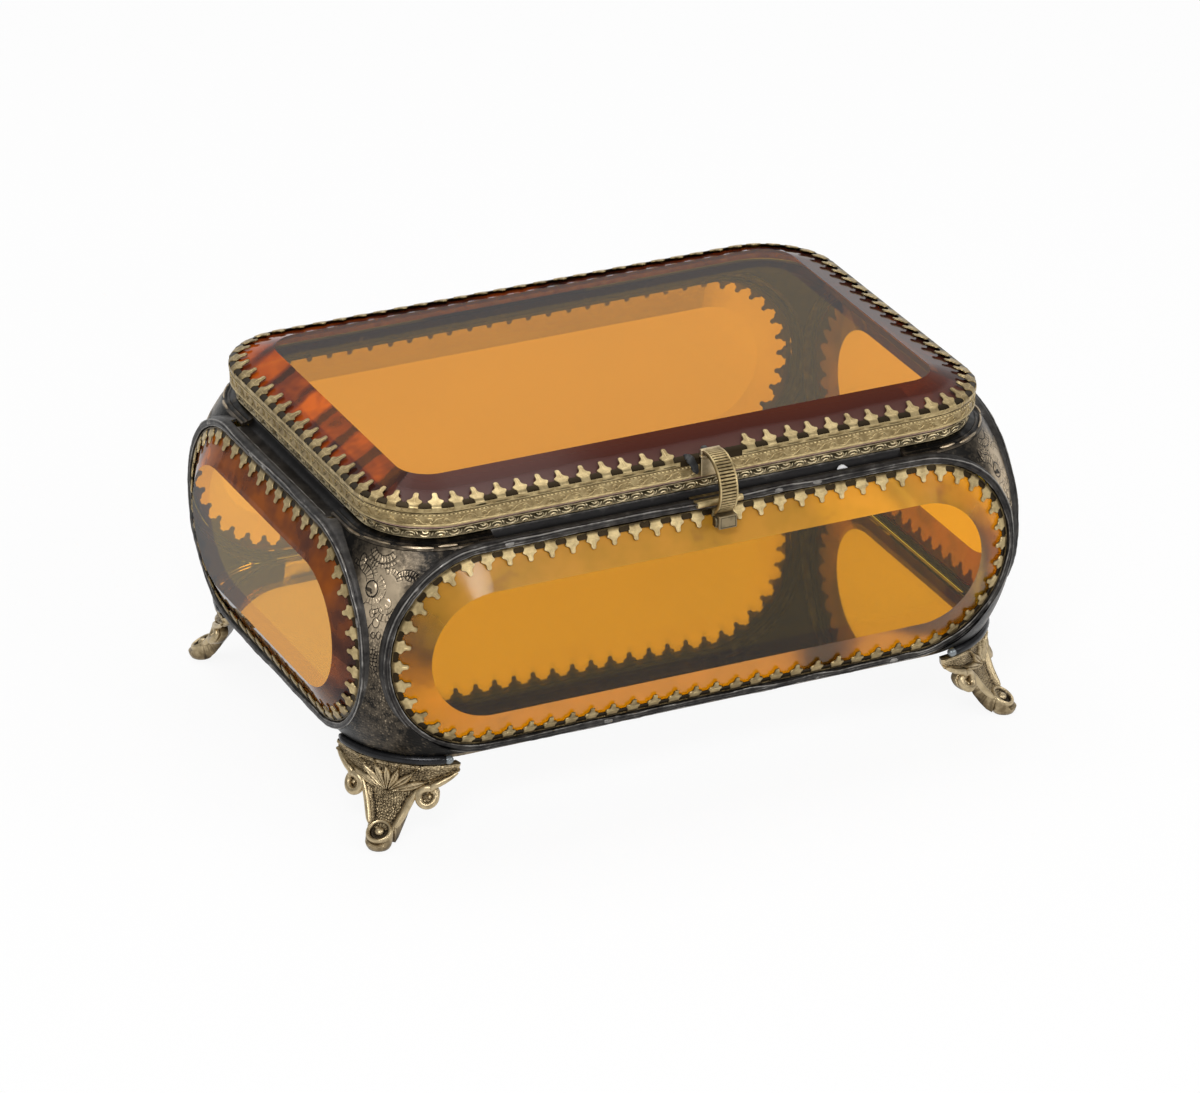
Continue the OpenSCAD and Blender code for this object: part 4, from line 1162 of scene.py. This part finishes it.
def clasp_thumb():
    b = Build()
    y1, top = bow_spot(BOW_LOW, BOW_R)
    y1, top = y1 + BOW_T, top - 0.1
    y0, z0 = y1 - 2.5, top - 3.2
    x, y, z = CLASP_X + 0.35, (y0 + y1) / 2, (z0 + top) / 2
    b.block((x, y, z), (4.5, 2.46, 3.16), 0.34, 0.14)
    # the face: a shallow sunk panel with fine upright strokes, between plain borders
    rows = []
    for v in np.linspace(0, 1, 30):
        row = []
        for u in np.linspace(0, 1, 56):
            sunk = clamp((min(u * 3.7, (1 - u) * 3.7, v * 2.5, (1 - v) * 2.5) - 0.16) / 0.12)
            stroke = math.sin(u * 92) * 0.5 + math.sin(v * 40 + 3 * math.sin(u * 30)) * 0.5
            row.append((x - 1.85 + 3.7 * u, y0 + sunk * (0.1 + 0.0175 * (1 - stroke)), z0 + 0.35 + 2.5 * v,
                        -0.1 if sunk < 0.5 else 0.25 * max(0, stroke) - 0.3))
        rows.append(row)
    b.grid(rows)
    # the dark curl of the strip at the left of the block
    left = CLASP_X - 2.6
    path = []
    for k in range(16):
        c, s = polar(60 + 15 * k)
        path.append((left + 0.42, y + 0.05 + 0.72 * c, z + 0.95 * s))
    b.tube(path, [0.2] + [0.3] * 14 + [0.2], wear_and_painted_light=-0.1, up=(1, 0, 0), flat=1.2)
    b.block((left + 0.5, y + 0.2, z), (0.8, 1.5, 2.3), 0.2, -0.4)
    b.done("clasp_thumb_block", DULL, "clasp", ["clasp_thumb"])


def clasp_plate():
    """The plate that holds the bow, and the lumps of old solder that hold it to the lid."""
    b = Build()
    y, w, low = -50.55, 5.2, 74.1
    root_y, root_z = bow_spot(BOW_HIGH, BOW_R)
    b.block((CLASP_X, y - 0.25, (low + LID_TOP) / 2), (w, 0.5, LID_TOP - low), 0.2, 0.04)
    b.block((CLASP_X, y + 0.2, LID_TOP + 0.25), (w, 1.4, 0.5), 0.2, 0.25)
    b.block((CLASP_X, root_y + 0.75, (LID_TOP + root_z) / 2 + 0.05),
            (w - 0.4, 0.85, root_z - LID_TOP - 0.1), 0.25, 0.22)
    b.done("clasp_plate_soldered", ANTIQUE, "lid", ["clasp_plate"])
    b = Build()
    g = random.Random(5)
    # place about the clasp's middle, and radius
    for lump, flat in (
            ([(-5.9, -49.0, 79.3, 0.3), (-5.4, -49.8, 79.05, 0.85), (-4.9, -50.45, 78.5, 1.0),
              (-4.4, -50.75, 77.5, 0.92), (-3.9, -50.8, 76.4, 1.0), (-3.4, -50.75, 75.3, 0.45)], 0.6),
            ([(-1.9, -49.2, 79.6, 0.3), (-1.3, -49.1, 79.95, 0.72), (-0.7, -49.1, 79.9, 0.7),
              (-0.2, -49.2, 79.6, 0.25)], 0.8)):
        path, radii = [], []
        for i in range((len(lump) - 1) * 4 + 1):
            k, f = divmod(i, 4)
            near, far = lump[k], lump[min(k + 1, len(lump) - 1)]
            x, y, z, r = (p * (1 - f / 4) + q * f / 4 for p, q in zip(near, far))
            path.append([c + g.uniform(-0.05, 0.05) for c in (CLASP_X + x, y, z)])
            radii.append(r * g.uniform(0.9, 1.1))
        b.tube(path, radii, 12, wear_and_painted_light=0.1, up=(0, -0.7, 0.7), flat=flat)
    b.done("clasp_solder_lumps", LEAD, "lid")


def catch():
    """The tab over the bead, with its outer edge rolled down; the roll's left end is painted brighter, a painted
    highlight where light would catch it.
    """
    b = Build()
    half, y, z = 5.5, -54.95, 69.55      # half the roll's length, and its axis
    outer, inner = 0.74, 0.407
    roll = [polar(75 + 17 * k) for k in range(16)]
    rows = []
    for u in np.linspace(-half, half, 60):
        # painted highlight: towards the roll's left end its outside and inside are painted brighter
        painted_end_highlight = bell(u, -half, 1.0)
        line = [(-50.85, 69.82, -0.1), (-51.8, 69.82, 0.0), (-53.2, 69.84, 0.1), (-54.2, 70.02, 0.2)]
        for k, (c, s) in enumerate(roll):
            line.append((y + outer * c, z + outer * s, 0.35 - 0.03 * k + 0.3 * painted_end_highlight))
        line += [(y + inner * c, z + inner * s, 0.9 * painted_end_highlight - 0.3) for c, s in reversed(roll)]
        line += [(-54.0, 69.66, -0.2), (-53.2, 69.44, -0.2), (-51.8, 69.4, -0.3), (-50.85, 69.4, -0.3)]
        rows.append([(CLASP_X + u, *point) for point in line])
    b.grid(rows, closed_v=True, caps=True)
    b.done("catch_rolled", BRASS, "casket", ["catch"])


# ---- the pieces ----

lid_gallery()
mirror_plate()
fleck()
body_rim()
for side in SIDES:
    pane_gallery(side)
    pane_frame(side)
for side in SIDES:
    cove(side)
for k, (sx, sy, name) in enumerate((
        (-1, -1, "front_left"), (1, -1, "front_right"), (-1, 1, "back_left"), (1, 1, "back_right"))):
    pillar(sx, sy, name, 300 + k)
    foot_bead(sx, sy, name)
    foot(sx, sy, name, 400 + k)
clasp_bow()
clasp_thumb()
clasp_plate()
catch()

# CAD nodes that are seen as they are
for node, mat in (
        ("glass_front", AMBER), ("glass_back", BACK_AMBER), ("glass_left", SIDE_AMBER),
        ("glass_right", SIDE_AMBER), ("lid_glass", LID_AMBER), ("lid_frame", LEDGE), ("base_frame", PATINA),
        ("hinge_leaf_body", PATINA), ("hinge_leaf_lid", PATINA), ("hinge_pin", BRASS)):
    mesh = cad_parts[node].data
    mesh.materials.clear()
    mesh.materials.append(mat)

# ---- floor, light and camera, in metres ----

scene = bpy.context.scene
scene.view_settings.view_transform = "Standard"

scene.world = bpy.data.worlds.new("soft_sky")
scene.world.use_nodes = True
sky = scene.world.node_tree.nodes["Background"]
sky.inputs["Color"].default_value = (1.0, 1.0, 1.0, 1)
sky.inputs["Strength"].default_value = 0.4


def pale_floor():
    """Looks white, straight or in the glass and metal, yet lights the model only by what falls on it."""
    mat = bpy.data.materials.new("pale_floor")
    mat.use_nodes = True
    tree = mat.node_tree
    tree.nodes.clear()
    out, diffuse, glow, mix, path = (tree.nodes.new("ShaderNode" + kind) for kind in (
        "OutputMaterial", "BsdfDiffuse", "Emission", "MixShader", "LightPath"))
    diffuse.inputs["Color"].default_value = (0.9, 0.9, 0.9, 1)
    glow.inputs["Strength"].default_value = 1.0
    camera, glossy, through = (Value(tree, path.outputs[f"Is {ray} Ray"]) for ray in (
        "Camera", "Glossy", "Transmission"))
    seen = (camera + glossy).math("ADD", through, limit=True) * 0.9
    for source, target in ((seen.socket, mix.inputs[0]), (diffuse.outputs[0], mix.inputs[1]),
                           (glow.outputs[0], mix.inputs[2]), (mix.outputs[0], out.inputs["Surface"])):
        tree.links.new(source, target)
    return mat


def sheet(name, corners, mat):
    mesh = bpy.data.meshes.new(name)
    mesh.from_pydata(corners, [], [(0, 1, 2, 3)])
    mesh.materials.append(mat)
    obj = bpy.data.objects.new(name, mesh)
    scene.collection.objects.link(obj)


def lamp(name, place, aim, size, watts):
    data = bpy.data.lights.new(name, "AREA")
    data.shape = "RECTANGLE"
    data.size, data.size_y = size
    data.energy = watts
    obj = bpy.data.objects.new(name, data)
    obj.location = place
    obj.rotation_mode = "QUATERNION"
    obj.rotation_quaternion = (Vector(aim) - Vector(place)).to_track_quat("-Z", "Y")
    scene.collection.objects.link(obj)
    return obj


GROUND = -0.0001
PALE = pale_floor()
sheet("floor", [(-4, -4, GROUND), (4, -4, GROUND), (4, 6, GROUND), (-4, 6, GROUND)], PALE)
near, far = (-1.78, 5.5), (5.42, 2.06)
sheet("backdrop", [(*near, GROUND), (*near, 9), (*far, 9), (*far, GROUND)], PALE)

lamp("key", (-0.55, -0.85, 0.95), (0, 0, 0.04), (0.5, 0.35), 7.0)
lamp("fill", (0.9, -0.8, 0.7), (0, 0, 0.04), (0.7, 0.5), 3.0)
lamp("top", (0.0, 0.35, 1.15), (0, 0, 0.06), (0.9, 0.6), 5.0)
# this one is seen in the lid's front bevel, and not through the glass
glint = lamp("glint", (0.224, -1.236, 0.526), (-0.055, -0.055, 0.06), (0.30, 0.06), 2.0)
glint.visible_transmission = False

AZIMUTH, ELEVATION, ROLL, DISTANCE = 25.53, 25.91, 0.36, 1.499
FOCAL, WIDTH = 6698, 1200            # in pixels
(ca, sa), (ce, se), (cr, sr) = polar(AZIMUTH), polar(ELEVATION), polar(ROLL)
fwd = Vector((sa * ce, ca * ce, -se))
right = Vector((ca, -sa, 0))
up = right.cross(fwd)
right, up = right * cr + up * sr, up * cr - right * sr
lens = bpy.data.cameras.new("camera")
lens.sensor_width = 36
lens.lens = lens.sensor_width * FOCAL / WIDTH
lens.clip_start, lens.clip_end = 0.05, 50
camera = bpy.data.objects.new("camera", lens)
eye = Vector((0, 0.0015, 0.079)) - right * 0.0003 - up * 0.03975 - fwd * DISTANCE
camera.matrix_world = Matrix.Translation(eye) @ Matrix((right, up, -fwd)).transposed().to_4x4()
scene.collection.objects.link(camera)
scene.camera = camera
